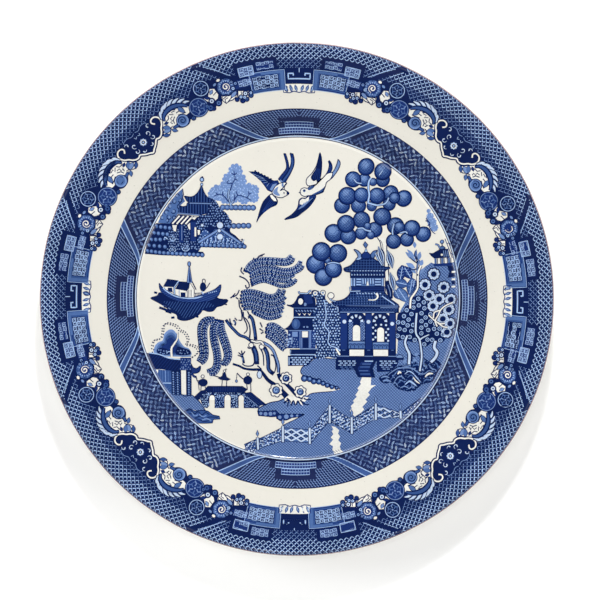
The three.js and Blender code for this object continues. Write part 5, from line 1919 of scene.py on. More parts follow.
# ---------------------------------------------------------------- the willow
# Each strand is its width and its middle line, from the branch to the tip.
WILLOW = (
    (1.9, [(-26.6, 14.0), (-25.0, 17.4), (-21.6, 20.0), (-17.0, 20.8), (-11.0, 20.6), (-6.4, 20.3),
           (-4.2, 21.2), (-2.9, 23.0)]),
    (1.9, [(-25.4, 13.6), (-22.8, 17.4), (-18.6, 18.9), (-12.0, 18.8), (-6.2, 18.4), (-3.0, 19.4),
           (-1.6, 21.6)]),
    (2.1, [(-24.6, 13.0), (-21.6, 15.6), (-17.0, 16.9), (-12.0, 16.4), (-7.0, 15.1), (-2.0, 15.7),
           (1.0, 17.8), (2.0, 19.9)]),
    (1.9, [(-24.4, 11.4), (-20.6, 13.8), (-16.0, 14.8), (-10.0, 14.0), (-5.0, 13.2), (-0.8, 14.2),
           (2.0, 15.8), (3.2, 17.6)]),
    (1.8, [(-24.2, 9.8), (-20.0, 12.0), (-15.0, 12.9), (-9.0, 11.9), (-4.0, 11.6), (-1.2, 13.0)]),
    (1.8, [(-24.0, 8.4), (-20.4, 10.4), (-16.0, 11.2), (-10.0, 9.9), (-5.4, 9.4), (-2.4, 10.6)]),
    (1.9, [(-23.6, 7.2), (-20.4, 9.0), (-16.6, 9.6), (-12.5, 8.4), (-8.0, 6.9), (-4.0, 7.4), (-1.4, 9.0),
           (-0.3, 10.6)]),
    (1.9, [(-29.0, 3.6), (-24.6, 4.3), (-19.4, 3.4), (-14.4, 1.7), (-10.6, 2.4), (-8.8, 5.4)]),
    (1.9, [(-29.4, 1.8), (-25.0, 2.7), (-20.0, 1.7), (-14.0, 0.1), (-9.8, 0.8), (-7.2, 3.2), (-6.6, 5.2)]),
    (1.9, [(-29.6, 0.0), (-25.0, 0.9), (-20.0, -0.1), (-14.0, -1.8), (-9.6, -1.1), (-6.8, 0.6), (-5.8, 1.4)]),
    (1.9, [(-29.4, -1.8), (-24.6, -0.9), (-19.6, -2.0), (-14.0, -3.6), (-9.6, -2.9), (-6.0, -1.6)]),
    (1.9, [(-28.8, -3.6), (-24.0, -2.7), (-19.4, -4.0), (-14.0, -5.5), (-10.0, -4.9), (-6.6, -3.8)]),
    (1.9, [(-27.8, -5.2), (-24.0, -4.5), (-19.8, -5.9), (-14.6, -7.5), (-10.6, -7.0), (-7.2, -5.8)]),
    (2.0, [(-23.4, -6.0), (-19.6, -8.0), (-15.0, -9.7), (-10.8, -9.2), (-8.0, -7.9)]),
    (2.0, [(-15.6, -13.6), (-12.0, -13.2), (-8.4, -15.4), (-6.2, -18.0), (-5.6, -20.4)]),
    (2.0, [(-16.4, -15.2), (-12.8, -15.2), (-9.0, -18.0), (-6.0, -21.6), (-5.4, -23.2)]),
    (2.0, [(-16.6, -17.0), (-13.4, -17.4), (-9.8, -20.4), (-6.4, -24.0), (-5.4, -25.6)]),
    (2.0, [(-16.2, -19.0), (-13.8, -19.8), (-10.6, -22.6), (-7.6, -25.4), (-6.4, -26.2)]),
    (2.4, [(-42.6, -10.0), (-47.2, -10.6), (-49.8, -13.4), (-50.2, -18.0), (-49.6, -24.0), (-49.2, -29.0),
           (-51.2, -32.4)]),
    (2.4, [(-41.6, -11.0), (-46.0, -12.0), (-47.7, -15.6), (-47.6, -21.0), (-47.0, -27.0), (-47.6, -31.0),
           (-49.8, -33.4)]),
    (2.2, [(-40.6, -10.6), (-43.4, -13.4), (-44.0, -18.0), (-43.4, -23.0), (-42.2, -28.0), (-42.0, -33.0),
           (-43.4, -36.4), (-46.6, -37.4)]),
    (2.2, [(-39.8, -10.8), (-42.0, -14.0), (-42.4, -19.0), (-41.2, -25.0), (-40.4, -30.0), (-40.6, -35.0),
           (-42.6, -38.2), (-45.4, -38.8)]),
    (2.2, [(-39.4, -10.6), (-40.4, -15.0), (-39.2, -20.0), (-37.4, -25.0), (-36.6, -29.0), (-37.4, -32.2),
           (-39.0, -34.0)]),
    (2.2, [(-38.6, -10.8), (-38.6, -15.0), (-37.0, -20.0), (-35.4, -25.0), (-34.8, -29.0), (-35.6, -32.0),
           (-37.6, -34.2)]),
)
# The strands are printed broader than their middle lines are spaced, so they overlap.
STRAND_SPREAD = 1.2
LEAF_PITCH = 1.25


def feather(sheet, points, width, level):
    """One hanging strand: a dark band with light leaves slanting out from its middle on both sides,
    and a thin light line just inside one edge. Every second strand lies over its neighbours."""
    path = curve(points, 8)
    base = 3 * (level % 2)
    sheet.line("navy", path, lambda t: width * min(1.0, 0.55 + 4 * t, 0.75 + 3 * (1 - t)), base)
    sheet.line("cobalt", path[1:-1], width * 0.3, base + 1)
    travelled = 0.0
    edge = []
    for before, after in zip(path, path[1:]):
        step = math.dist(before, after)
        along = ((after[0] - before[0]) / step, (after[1] - before[1]) / step)
        edge.append((after[0] - along[1] * width * 0.42, after[1] + along[0] * width * 0.42))
        travelled += step
        if travelled < LEAF_PITCH:
            continue
        travelled -= LEAF_PITCH
        for side in (1, -1):
            ends = [
                (after[0] - along[1] * side * width * out + along[0] * lead,
                 after[1] + along[0] * side * width * out + along[1] * lead)
                for out, lead in ((0.1, -0.3), (0.38, 0.35))
            ]
            sheet.line("frost" if side > 0 else "pale", ends, 0.25, base + 2)
    sheet.line("mist", edge[2:-2], 0.15, base + 1)


def willow_leaves():
    """The willow's strands, sweeping right from the top and hanging at the left."""
    sheet = Print("willow_leaves", "centre_scene_print", 5)
    for level, (width, points) in enumerate(WILLOW):
        feather(sheet, points, width * STRAND_SPREAD, level)
    sheet.build()


def scalloped(sheet, centre, radius, lobes, fill, lift):
    """A flower seen as one lobed outline."""
    edge = []
    for i in range(lobes * 6):
        a = 2 * math.pi * i / (lobes * 6)
        r = radius * (0.8 + 0.2 * abs(math.sin(lobes * a / 2)))
        edge.append((centre[0] + r * math.cos(a), centre[1] + r * math.sin(a)))
    outlined(sheet, fill, edge, 0.5, lift)


def willow_trunk():
    """The willow's split white trunk, its roots, bud and flowers."""
    sheet = Print("willow_trunk", "centre_scene_print", 6)
    root_gap = [(-6.2, -50.9), (-4.4, -50.2), (2.6, -50.6), (6.2, -50.9), (4.2, -53.2), (2.2, -52.6),
                (3.2, -55.4), (0.6, -53.0),
                (-0.6, -55.2), (-1.6, -53.0), (-2.8, -55.0), (-3.8, -52.7), (-6.2, -53.8)]
    sheet.area("white", root_gap)
    for points in ([(-6.6, -53.8), (-4.4, -52.4), (-4.8, -55.6)],
                   [(-3.0, -55.2), (-1.7, -52.6), (-0.7, -55.2)],
                   [(-0.2, -54.8), (0.6, -52.7), (2.0, -55.2)], [(1.8, -52.2), (4.0, -54.4), (6.6, -54.6)],
                   [(3.6, -51.4), (5.2, -52.0), (7.4, -51.8)],
                   [(-5.2, -51.4), (-3.8, -52.4), (-3.0, -53.6)]):
        sheet.line("navy", curve(points, 4), lambda t: 0.9 - 0.4 * t, 1)
    left = curve([(-33.2, -33.6), (-30.0, -34.6), (-27.0, -36.0), (-23.0, -36.5), (-19.6, -36.6),
                  (-17.6, -38.4), (-15.0, -41.8),
                  (-11.6, -44.3), (-9.0, -46.4), (-6.6, -49.0), (-5.2, -50.6)], 5)
    sheet.line("navy", left, lambda t: 1.1 + 2.1 * t * t, 1)
    right = curve([(-9.8, -38.6), (-8.6, -41.4), (-5.4, -44.0), (-2.6, -46.8), (0.0, -49.4), (3.4, -50.9)], 5)
    sheet.line("navy", right, lambda t: 1.3 + 1.3 * t, 1)
    for points, width in (
        ([(-24.8, -8.2), (-23.0, -10.4), (-22.2, -14.0), (-21.6, -17.6), (-21.3, -21.2)], 1.8),
        ([(-22.6, -24.4), (-21.2, -27.6), (-20.7, -30.6), (-20.6, -33.8)], 2.3),
        ([(-17.0, -24.8), (-15.4, -28.0), (-14.8, -32.0), (-14.5, -36.4), (-11.9, -38.8)], 2.1),
        ([(-27.4, -33.2), (-28.0, -30.4), (-28.8, -28.4)], 1.2),
        ([(-36.8, -10.6), (-34.6, -13.6), (-32.2, -16.2), (-29.6, -18.6), (-26.4, -19.8), (-23.2, -22.0)],
         1.6), ([(-32.8, -10.8), (-31.8, -12.2), (-32.2, -13.6)], 1.0),
    ):
        sheet.line("navy", curve(points, 4), width, 1)
        inner = [(x - 0.25, y + 0.2) for x, y in curve(points, 4)]
        sheet.line("blue" if width > 1.55 else "wash", inner[2:-2], width * 0.4, 2)
    cased(sheet, curve([(-17.6, -22.4), (-14.4, -24.2), (-12.2, -26.6), (-10.8, -30.0), (-9.6, -34.0),
                        (-9.4, -38.0)], 4), 0.9, "mist", border=0.4, lift=1)
    cased(sheet, curve([(-23.6, -21.4), (-21.0, -22.2), (-18.6, -22.0), (-17.2, -23.6)], 4), 0.8,
          border=0.4, lift=3)
    for centre, radius in (((-23.6, -23.8), 1.3), ((-18.2, -24.6), 1.3)):
        outlined(sheet, "white", circle(centre, radius, 16), 0.45, 3)
    for points in (
        [(-24.5, -20.0), (-24.2, -16.4), (-24.7, -13.0), (-26.0, -10.6), (-27.2, -9.4)],
        [(-27.8, -6.4), (-27.5, -9.6), (-26.0, -13.0), (-25.8, -16.0), (-27.4, -17.8)],
        [(-28.8, -5.8), (-28.4, -8.4), (-28.6, -10.8), (-30.2, -10.8)],
        [(-23.4, -25.6), (-22.3, -29.0), (-22.0, -32.8), (-23.4, -34.5), (-26.6, -34.6), (-28.3, -33.4)],
        [(-18.7, -25.6), (-17.4, -29.0), (-17.1, -34.4)], [(-20.4, -34.4), (-18.2, -36.4)],
        [(-25.3, -24.6), (-25.0, -25.4), (-23.4, -25.2)],
        [(-13.4, -28.9), (-12.2, -29.2), (-11.2, -31.6), (-10.8, -35.0), (-11.6, -38.2)],
        [(-8.8, -35.4), (-8.9, -38.0), (-8.2, -40.4)],
        [(-28.0, -30.0), (-30.6, -29.0)], [(-28.4, -29.2), (-30.2, -27.6)],
        [(-28.3, -28.6), (-28.7, -26.6)], [(-28.1, -28.8), (-26.8, -27.0)],
        [(-31.0, -11.0), (-32.2, -9.6)], [(-34.8, -10.0), (-34.4, -12.0), (-33.4, -13.2)],
        [(-25.6, -6.2), (-24.6, -8.4), (-25.2, -10.0)],
        [(-19.0, -12.0), (-17.9, -14.6)], [(-19.3, -15.2), (-17.3, -16.6)],
        [(-18.6, -17.8), (-17.2, -17.0)], [(-34.4, 0.6), (-33.0, 1.8), (-31.9, 3.1)],
        [(-33.2, 1.2), (-31.0, 2.4), (-29.8, 4.9)], [(-31.6, 1.0), (-30.2, 0.0)],
        [(-20.6, 20.6), (-19.5, 22.4), (-16.6, 23.6)], [(-19.4, 22.4), (-17.6, 22.6)],
        [(-22.6, 20.4), (-22.2, 21.6)], [(-28.4, 16.6), (-28.9, 14.6), (-27.4, 13.0)],
        [(-27.0, 16.2), (-27.6, 14.4)], [(-29.8, 12.0), (-26.8, 10.6), (-24.9, 8.4), (-24.6, 6.2)],
        [(-26.6, 7.4), (-26.0, 5.8), (-24.6, 6.4)], [(-23.8, 9.6), (-23.2, 6.4)],
        [(-30.0, -0.4), (-29.6, -4.0), (-28.2, -6.2)],
    ):
        sheet.line("navy", curve(points, 4), lambda t: 0.75 - 0.2 * t, 2)
    outlined(sheet, "frost", circle((-19.3, -39.1), 1.3, 16, 1.55), 0.4, 2)
    for centre, radius, fill, core in (((-5.6, -41.0), 3.3, "white", "cobalt"),
                                       ((1.8, -48.0), 3.3, "white", "blue"),
                                       ((-10.7, -47.2), 3.6, "white", "mid")):
        scalloped(sheet, centre, radius, 7, fill, 3)
        sheet.dot("navy", centre, radius * 0.58, 5, 16)
        sheet.dot(core, centre, radius * 0.45, 6, 14)
        sheet.line("pale", spiral(centre, radius * 0.4, 40, 0.9, 12, 0.4), 0.35, 7)
    sheet.build()


# ---------------------------------------------------------------- the boat
def boat():
    """The houseboat on its dark hatched reflection."""
    sheet = Print("boat", "centre_scene_print", 3)
    water = curve([(-76.2, 0.4), (-72.4, 2.0), (-70.6, 3.6), (-60.0, 0.6), (-44.0, 1.4), (-40.0, 0.4),
                   (-35.6, -0.3), (-36.6, -2.2),
                   (-39.0, -3.6), (-41.4, -4.2), (-43.2, -6.2), (-46.0, -6.6), (-48.6, -5.8), (-49.8, -7.4),
                   (-52.4, -9.4), (-55.4, -10.8),
                   (-58.6, -11.3), (-61.8, -10.4), (-62.4, -8.2), (-65.4, -6.8), (-68.2, -4.2),
                   (-72.2, -1.8)], 3, True)
    sheet.area("navy", water)
    hatch(sheet, "blue", [(-70.0, -1.0), (-60.0, -1.4), (-46.0, -1.2), (-42.0, -3.6), (-48.0, -4.6),
                          (-53.0, -8.2), (-58.6, -10.2), (-61.0, -7.4), (-66.0, -4.0)], 58, 1.25, 0.34)
    for points, width in (([(-74.0, 3.5), (-72.4, 3.2)], 1.1),
                          ([(-71.4, -4.3), (-68.6, -5.2), (-66.0, -6.6)], 1.3),
                          ([(-65.2, -9.7), (-63.4, -9.4)], 1.1),
                          ([(-69.0, -3.8), (-66.6, -4.4)], 0.8), ([(-40.0, -0.6), (-36.0, -0.4)], 1.2),
                          ([(-38.8, -2.2), (-36.2, -2.8)], 0.7),
                          ([(-68.0, -6.2), (-65.0, -7.2)], 1.0), ([(-52.8, -8.8), (-51.0, -9.2)], 1.0)):
        sheet.line("navy", points, width, 2)
    sheet.line("wash", curve([(-69.6, -3.4), (-67.4, -4.0), (-65.6, -5.2)], 3), 0.45, 1)
    hull = curve([(-71.3, 8.3), (-70.9, 5.0), (-68.4, 2.0), (-64.0, -0.4), (-58.0, -1.7), (-50.0, -1.6),
                  (-44.0, -0.3), (-40.4, 2.4), (-39.3, 7.6),
                  (-41.8, 5.6), (-45.0, 4.0), (-49.0, 2.6), (-53.0, 1.2), (-58.0, 0.9), (-63.0, 2.0),
                  (-67.0, 4.2), (-70.0, 6.4)], 3, True)
    outlined(sheet, "cobalt", hull, 0.45, 2)
    hatch(sheet, "blue", hull, 20, 1.0, 0.26, 3)
    sheet.line("pale", curve([(-69.4, 5.8), (-66.4, 3.4), (-62.4, 1.4), (-57.0, 0.5), (-52.0, 0.7),
                              (-49.0, 1.6)], 4), 0.6, 4)
    outlined(sheet, "white", [(-68.6, 6.6), (-63.6, 6.4), (-63.4, 3.4), (-66.6, 4.2), (-68.4, 5.2)], 0.3, 4)
    sheet.area("navy", [(-66.9, 6.0), (-64.6, 6.0), (-64.4, 3.6), (-66.9, 4.5)], 6)
    outlined(sheet, "navy", [(-67.0, 10.4), (-61.4, 9.6), (-63.4, 6.4), (-69.2, 6.7)], 0.3, 6)
    outlined(sheet, "white", [(-63.3, 5.8), (-57.0, 4.6), (-56.6, 1.0), (-60.6, 1.2), (-63.2, 2.4)], 0.35, 6)
    sheet.area("navy", box(-60.2, -57.7, 1.2, 3.5), 8)
    sheet.line("wash", [(-61.0, 1.4), (-61.0, 4.9)], 0.35, 8)
    outlined(sheet, "white", [(-55.4, 8.6), (-53.2, 5.2), (-53.2, 0.9), (-56.8, 0.9), (-56.8, 5.0)], 0.35, 6)
    for x in (-56.0, -54.8):
        sheet.line("navy", [(x, 1.2), (x, 4.9)], 0.35, 8)
    outlined(sheet, "navy", [(-60.8, 9.1), (-55.4, 8.8), (-56.0, 5.6), (-57.0, 4.4), (-62.8, 5.4)], 0.3, 8)
    cased(sheet, [(-61.2, 9.5), (-63.6, 6.1), (-63.4, 2.6)], 0.5, border=0.25, lift=8)
    outlined(sheet, "mist", [(-57.0, 8.6), (-56.0, 17.0), (-55.5, 17.0), (-54.2, 8.6)], 0.3, 9)
    sheet.area("cobalt", [(-56.0, 9.0), (-55.6, 16.4), (-54.8, 9.0)], 11)
    outlined(sheet, "mist", circle((-55.8, 18.3), 0.75, 14, 1.7), 0.4, 9)
    sheet.line("navy", [(-54.4, 9.4), (-52.2, 5.0)], 0.5, 10)
    for i in range(6):
        sheet.line("navy", [(-53.2 + i * 0.75, 3.0), (-53.2 + i * 0.75, 1.3)], 0.3, 6)
    sheet.line("navy", [(-53.2, 3.1), (-49.2, 3.3)], 0.3, 6)
    for i in range(5):
        sheet.dot("pale", (-45.6 + i * 0.95, 3.2 + i * 0.25), 0.3, 5, 7)
    boatman = (-48.6, 6.4)
    sheet.area("navy", circle(boatman, 1.65, 18, 1.45), 6)
    for points in ([(-47.6, 5.2), (-46.5, 6.2), (-45.0, 8.6)],
                   [(-48.9, 8.8), (-48.9, 10.0), (-48.2, 10.5), (-47.5, 9.9), (-47.5, 8.6)]):
        sheet.line("navy", curve(points, 3), 0.4, 6)
    sheet.line("pale", [(-49.4, 4.0), (-48.4, 2.6)], 0.5, 6)
    sheet.build()


# ---------------------------------------------------------------- the bridge and its house
def dotted_edge(sheet, points, radius=0.38, pitch=1.05):
    """Small dark leaves in a loose double row along a line."""
    path = curve(points, 8)
    gone, side = 0.0, 1
    for before, after in zip(path, path[1:]):
        gone += math.dist(before, after)
        if gone >= pitch * 0.55:
            gone, side = 0.0, -side
            sheet.dot("navy", (after[0] + 0.45 * side, after[1] + 0.3 * side), radius, 2, 7)


def left_shrub():
    """The soft round shrub over the bridge house, edged with dark dots."""
    sheet = Print("left_shrub", "centre_scene_print", 3)
    body = curve([(-73.6, -29.0), (-74.0, -25.2), (-72.0, -22.6), (-69.6, -21.4), (-68.8, -18.2),
                  (-66.6, -16.0), (-64.2, -15.9),
                  (-62.2, -18.2), (-60.6, -21.8), (-58.4, -24.6), (-55.8, -25.8), (-55.0, -29.2),
                  (-64.0, -29.8)], 4, True)
    centre = (-65.4, -25.4)
    for ink, share in (("mist", 1.0), ("wash", 0.93), ("mid", 0.84), ("blue", 0.72), ("cobalt", 0.56)):
        sheet.area(ink, [mix(centre, p, share) for p in body], 0)
    sheet.area("navy", curve([(-61.8, -24.6), (-58.6, -25.6), (-55.6, -26.4), (-55.4, -28.8),
                              (-62.6, -28.8)], 3, True), 1)
    sheet.area("navy", curve([(-72.6, -26.4), (-70.0, -25.2), (-66.6, -26.4), (-66.4, -28.8),
                              (-72.0, -28.6)], 3, True), 1)
    scatter(sheet, "mist", [(-72.4, -28.8), (-72.4, -26.2), (-66.8, -26.2), (-66.8, -28.8)], 1.3, 0.34, 2)
    scatter(sheet, "mist", [(-62.2, -28.8), (-62.2, -25.4), (-55.8, -26.6), (-55.8, -28.8)], 1.4, 0.34, 2)
    cased(sheet, curve([(-61.8, -17.2), (-61.9, -20.4), (-63.6, -23.2), (-65.0, -25.6), (-64.9, -29.8)], 4),
          lambda t: 0.5 + 0.6 * t, border=0.2, lift=3)
    cased(sheet, curve([(-65.2, -27.4), (-66.4, -27.2), (-67.6, -27.8)], 3), 0.4, border=0.15, lift=3)
    dotted_edge(sheet, [(-74.6, -28.4), (-75.1, -25.0), (-74.2, -21.8), (-71.6, -21.0), (-70.0, -19.6),
                        (-69.4, -16.6), (-69.2, -14.2), (-67.6, -12.6),
                        (-64.8, -13.0), (-62.4, -14.0), (-60.6, -16.2), (-58.4, -17.2), (-56.8, -19.4),
                        (-56.4, -21.6), (-57.2, -23.6), (-54.6, -23.9),
                        (-52.2, -24.9), (-51.0, -26.8), (-52.2, -28.8), (-54.6, -30.4)])
    sheet.build()


def bridge_house():
    """The house at the bridge's left end, its dotted pillars, and the rocks under it."""
    sheet = Print("bridge_house", "centre_scene_print", 6)
    roof = rim_arc(249.9, 243.6, 6) + [(-70.0, -36.8), (-65.0, -37.6), (-60.2, -36.8), (-54.8, -36.8),
                                       (-54.8, -31.0), (-66.0, -30.8), (-71.8, -28.8)]
    sheet.area("navy", roof)
    hatch(sheet, "cobalt", roof, 52, 1.3, 0.25)
    sheet.line("pale", curve([(-77.0, -28.5), (-71.4, -29.0), (-66.4, -30.6), (-60.0, -31.4)], 4), 0.55, 2)
    sheet.line("wash", [(-60.0, -29.8), (-54.8, -29.6)], 0.5, 2)
    sheet.area("cobalt", box(-60.4, -54.8, -37.0, -30.4), 2)
    scatter(sheet, "wash", box(-60.4, -54.8, -37.0, -30.4), 1.25, 0.34, 3)
    outlined(sheet, "cobalt", curve([(-54.8, -33.4), (-53.8, -35.4), (-51.8, -35.9), (-50.0, -34.7),
                                     (-50.2, -37.0), (-51.8, -38.3), (-54.8, -38.6)], 3), 0.45, 2)
    wall = rim_arc(243.6, 237.6, 6) + [(-65.2, -49.8), (-65.2, -37.2)]
    sheet.area("blue", wall, 1)
    for x, y0, y1 in ((-71.2, -37.4, -41.4), (-69.9, -37.2, -43.6), (-68.4, -37.4, -43.4),
                      (-66.9, -37.8, -43.6)):
        sheet.line("mist" if x == -68.4 else "mid", [(x, y0), (x, y1)], 0.5, 2)
    sheet.line("pale", [(-69.8, -44.2), (-65.4, -44.0)], 0.5, 2)
    sheet.area("white", [(-73.6, -37.2), (-72.2, -37.2), (-72.4, -39.2)], 3)
    for x0, x1, columns in ((-65.2, -60.2, (-64.2, -61.9)), (-57.2, -54.6, (-56.0,))):
        sheet.area("navy", box(x0, x1, -50.4, -36.8), 3)
        for x in columns:
            for i in range(10):
                sheet.dot("mist", (x, -38.2 - i * 1.26), 0.46, 4, 8)
                sheet.dot("blue", (x + 1.1, -38.6 - i * 1.26), 0.3, 4, 7)
    outlined(sheet, "white", box(-60.2, -57.3, -49.8, -36.9), 0.4, 4)
    sheet.line("cobalt", curve([(-54.4, -38.6), (-53.4, -40.0), (-52.0, -40.4)], 3), 1.2, 2)
    ground = rim_arc(237.6, 224.6, 8) + [(-55.2, -57.4), (-52.0, -58.4), (-47.2, -58.8), (-49.6, -54.8),
                                         (-51.6, -52.2), (-54.6, -49.8), (-60.0, -49.6)]
    land(sheet, ground, 0)
    sheet.line("navy", curve([(-60.2, -49.4), (-58.6, -50.6), (-57.0, -50.4), (-54.6, -49.8),
                              (-51.4, -52.2), (-49.4, -54.8), (-47.0, -58.6)], 4), 0.45, 5)
    rocks = rim_arc(224.8, 218.6, 5) + [(-48.0, -64.9), (-44.0, -64.6), (-43.4, -62.6), (-39.8, -62.2),
                                        (-40.2, -60.8), (-43.6, -60.2), (-46.2, -58.2),
                                      (-49.6, -57.8), (-53.0, -58.6), (-56.0, -57.2)]
    outlined(sheet, "blue", rocks, 0.5, 2)
    for points, ink, width in (
        ([(-57.4, -58.6), (-55.4, -58.0), (-53.4, -60.0), (-51.4, -58.8), (-49.4, -60.4), (-47.4, -59.0),
          (-45.4, -60.2)], "navy", 0.5),
        ([(-56.4, -60.2), (-54.4, -60.2), (-52.6, -62.0), (-50.4, -61.2), (-48.0, -62.6), (-45.4, -61.4),
          (-41.0, -61.4)], "navy", 0.5),
        ([(-53.4, -62.6), (-51.0, -63.0), (-48.4, -64.0), (-45.0, -63.2)], "navy", 0.5),
        ([(-54.8, -59.2), (-53.4, -61.2), (-51.6, -60.4)], "mist", 0.6),
        ([(-50.8, -60.0), (-49.2, -61.4), (-47.0, -60.6)], "wash", 0.6),
        ([(-49.4, -63.2), (-46.8, -62.4), (-44.6, -63.4)], "wash", 0.7),
    ):
        sheet.line(ink, curve(points, 4), width, 4)
    sheet.build()


def bridge():
    """The three-arched bridge with its dark deck and pebbled piers."""
    sheet = Print("bridge", "centre_scene_print", 4)
    outlined(sheet, "navy", [(-53.6, -51.2), (-49.8, -47.6), (-47.6, -47.2), (-46.0, -50.0), (-49.2, -51.4),
                             (-51.6, -52.4)], 0.3, 2)
    pebbled = (
        [(-50.2, -51.0), (-48.0, -48.6), (-45.5, -48.6), (-45.6, -55.2), (-46.4, -56.4), (-48.6, -56.2)],
        box(-42.5, -37.6, -56.4, -49.8),
        box(-34.2, -30.3, -56.4, -49.8), [(-27.4, -49.8), (-26.0, -49.0), (-19.0, -54.8), (-19.6, -56.4),
                                          (-27.4, -56.4)], box(-47.0, -26.6, -51.0, -48.3),
    )
    for i, shape in enumerate(pebbled):
        outlined(sheet, "navy", shape, 0.35, 0)
        scatter(sheet, "mist" if i % 2 else "pale", shape, 0.95, 0.3, 2, 0.35)
    for x0, x1 in ((-45.3, -42.6), (-37.4, -34.3), (-30.2, -27.5)):
        sheet.area("white", arc(((x0 + x1) / 2, -51.2), (x1 - x0) / 2, 0, 180, 10) + [(x0, -52.4),
            (x1, -52.4)], 4)
        sheet.line("navy", arc(((x0 + x1) / 2, -51.2), (x1 - x0) / 2 + 0.2, 0, 180, 10), 0.4, 5)
    hatch(sheet, "wash", [(-27.0, -49.6), (-25.6, -49.0), (-17.4, -55.2), (-22.0, -55.4)], -38, 1.0, 0.35, 3)
    outlined(sheet, "navy", [(-27.4, -48.6), (-23.8, -48.2), (-15.6, -54.9), (-20.2, -55.0)], 0.3, 3)
    hatch(sheet, "cobalt", [(-27.0, -48.8), (-23.8, -48.5), (-16.4, -54.6), (-20.2, -54.7)], -38, 0.9, 0.3, 5)
    deck = [(-47.8, -47.0), (-46.2, -45.2), (-28.2, -45.2), (-25.6, -46.8), (-27.4, -48.4), (-46.2, -48.4)]
    outlined(sheet, "navy", deck, 0.35, 5)
    hatch(sheet, "cobalt", [(-44.0, -45.6), (-31.0, -45.6), (-31.0, -48.0), (-44.0, -48.0)], 90, 0.9, 0.34, 7)
    sheet.build()


def walkers():
    """The three tiny walkers on the bridge, as plain silhouettes with staff, crook and lantern."""
    sheet = Print("walkers", "centre_scene_print", 12)
    for centre, across, tall in (((-48.6, -43.3), 2.4, 0.85), ((-25.4, -42.0), 2.35, 0.95)):
        sheet.area("navy", circle(centre, across, 18, tall))
    sheet.area("navy", [(-41.0, -41.0), (-38.8, -39.8), (-38.4, -38.2), (-37.0, -38.0), (-36.2, -40.4),
                        (-34.3, -41.5), (-35.8, -42.3), (-39.4, -41.9)])
    for centre, radius in (((-48.8, -40.1), 0.85), ((-37.5, -37.3), 0.65), ((-25.3, -39.0), 0.8)):
        outlined(sheet, "white", circle(centre, radius, 12), 0.35)
    for points, width in (
        ([(-50.4, -42.2), (-51.6, -42.4), (-52.0, -41.0), (-52.5, -39.8)], 0.5),
        ([(-51.2, -42.6), (-50.6, -47.4)], 0.35),
        ([(-43.6, -39.5), (-41.2, -40.2), (-39.0, -40.8)], 0.45),
        ([(-37.2, -37.0), (-36.8, -36.2), (-36.2, -36.4)], 0.35),
        ([(-27.0, -41.6), (-28.6, -40.8), (-31.0, -38.3)], 0.55), ([(-31.0, -38.4), (-31.3, -41.8)], 0.3),
        ([(-49.6, -45.2), (-49.8, -47.6)], 0.4), ([(-47.6, -45.2), (-47.0, -47.2)], 0.4),
        ([(-38.6, -42.0), (-38.9, -45.2)], 0.4),
        ([(-36.3, -42.0), (-36.5, -45.2)], 0.4), ([(-26.0, -44.0), (-25.6, -47.0)], 0.4),
        ([(-23.9, -43.8), (-23.8, -48.2)], 0.4),
    ):
        sheet.line("navy", curve(points, 3), width, 1)
    outlined(sheet, "mist", circle((-31.3, -42.5), 0.6, 10, 1.2), 0.3)
    sheet.build()


# ---------------------------------------------------------------- the near bank: path and fence
def lower_bank():
    """The rocks under the willow's roots and the pale path that comes down from the pagoda."""
    sheet = Print("lower_bank", "centre_scene_print", 4)
    for shape in (
        [(-20.4, -57.8), (-19.6, -58.4), (-10.6, -57.8), (-9.4, -59.2), (-10.8, -60.8), (-13.2, -61.0),
         (-17.0, -60.6), (-19.8, -60.4)],
        [(-10.8, -59.6), (-6.0, -59.6), (3.9, -59.6), (1.2, -61.0), (-2.6, -61.4), (-5.0, -62.6),
         (-8.6, -63.0), (-10.4, -61.8)],
    ):
        outlined(sheet, "cobalt", shape, 0.5)
    for x, y, radius in ((-18.6, -59.3, 0.8), (-16.2, -59.5, 1.0), (-13.6, -59.4, 1.0), (-11.6, -59.2, 0.7),
                         (-8.8, -61.2, 0.9), (-5.4, -60.9, 1.2),
                         (-2.6, -60.5, 0.8), (0.2, -60.4, 0.6)):
        sheet.dot("wash", (x, y), radius, 2, 12)
    upper = [(33.8, -40.4), (32.8, -43.2), (33.4, -43.8), (31.4, -46.2), (32.2, -47.0), (30.4, -49.6),
             (31.2, -50.4), (29.2, -52.6), (29.8, -53.6),
             (28.0, -55.4), (28.6, -56.4), (27.6, -58.0), (30.0, -60.8), (33.4, -58.8), (35.0, -57.0),
             (34.0, -55.8), (36.6, -53.0), (35.6, -52.0),
             (38.0, -49.4), (37.0, -48.4), (38.8, -46.0), (41.2, -44.4), (38.4, -44.6), (38.6, -40.4)]
    lower = [(18.0, -65.8), (19.0, -67.6), (18.2, -68.4), (19.0, -70.0), (17.6, -71.8), (18.8, -73.0),
             (16.8, -75.4), (18.6, -76.6), (18.2, -78.6)]
    lower += rim_arc(166.6, 163.4, 2) + [(22.8, -78.8), (22.0, -77.0), (22.8, -75.0), (21.4, -73.4),
                                         (22.4, -71.2), (21.4, -69.6), (22.0, -68.0), (20.0, -66.2)]
    sheet.area("white", upper)
    sheet.area("white", lower)
    sheet.build()


POSTS = ((-20.4, -72.0, -78.6), (-7.2, -65.9, -74.2), (6.7, -66.8, -75.2), (17.1, -54.9, -64.2),
         (28.5, -61.2, -69.9), (41.0, -54.0, -62.6), (53.6, -58.2, -62.4))
LATTICED = (1, 5)


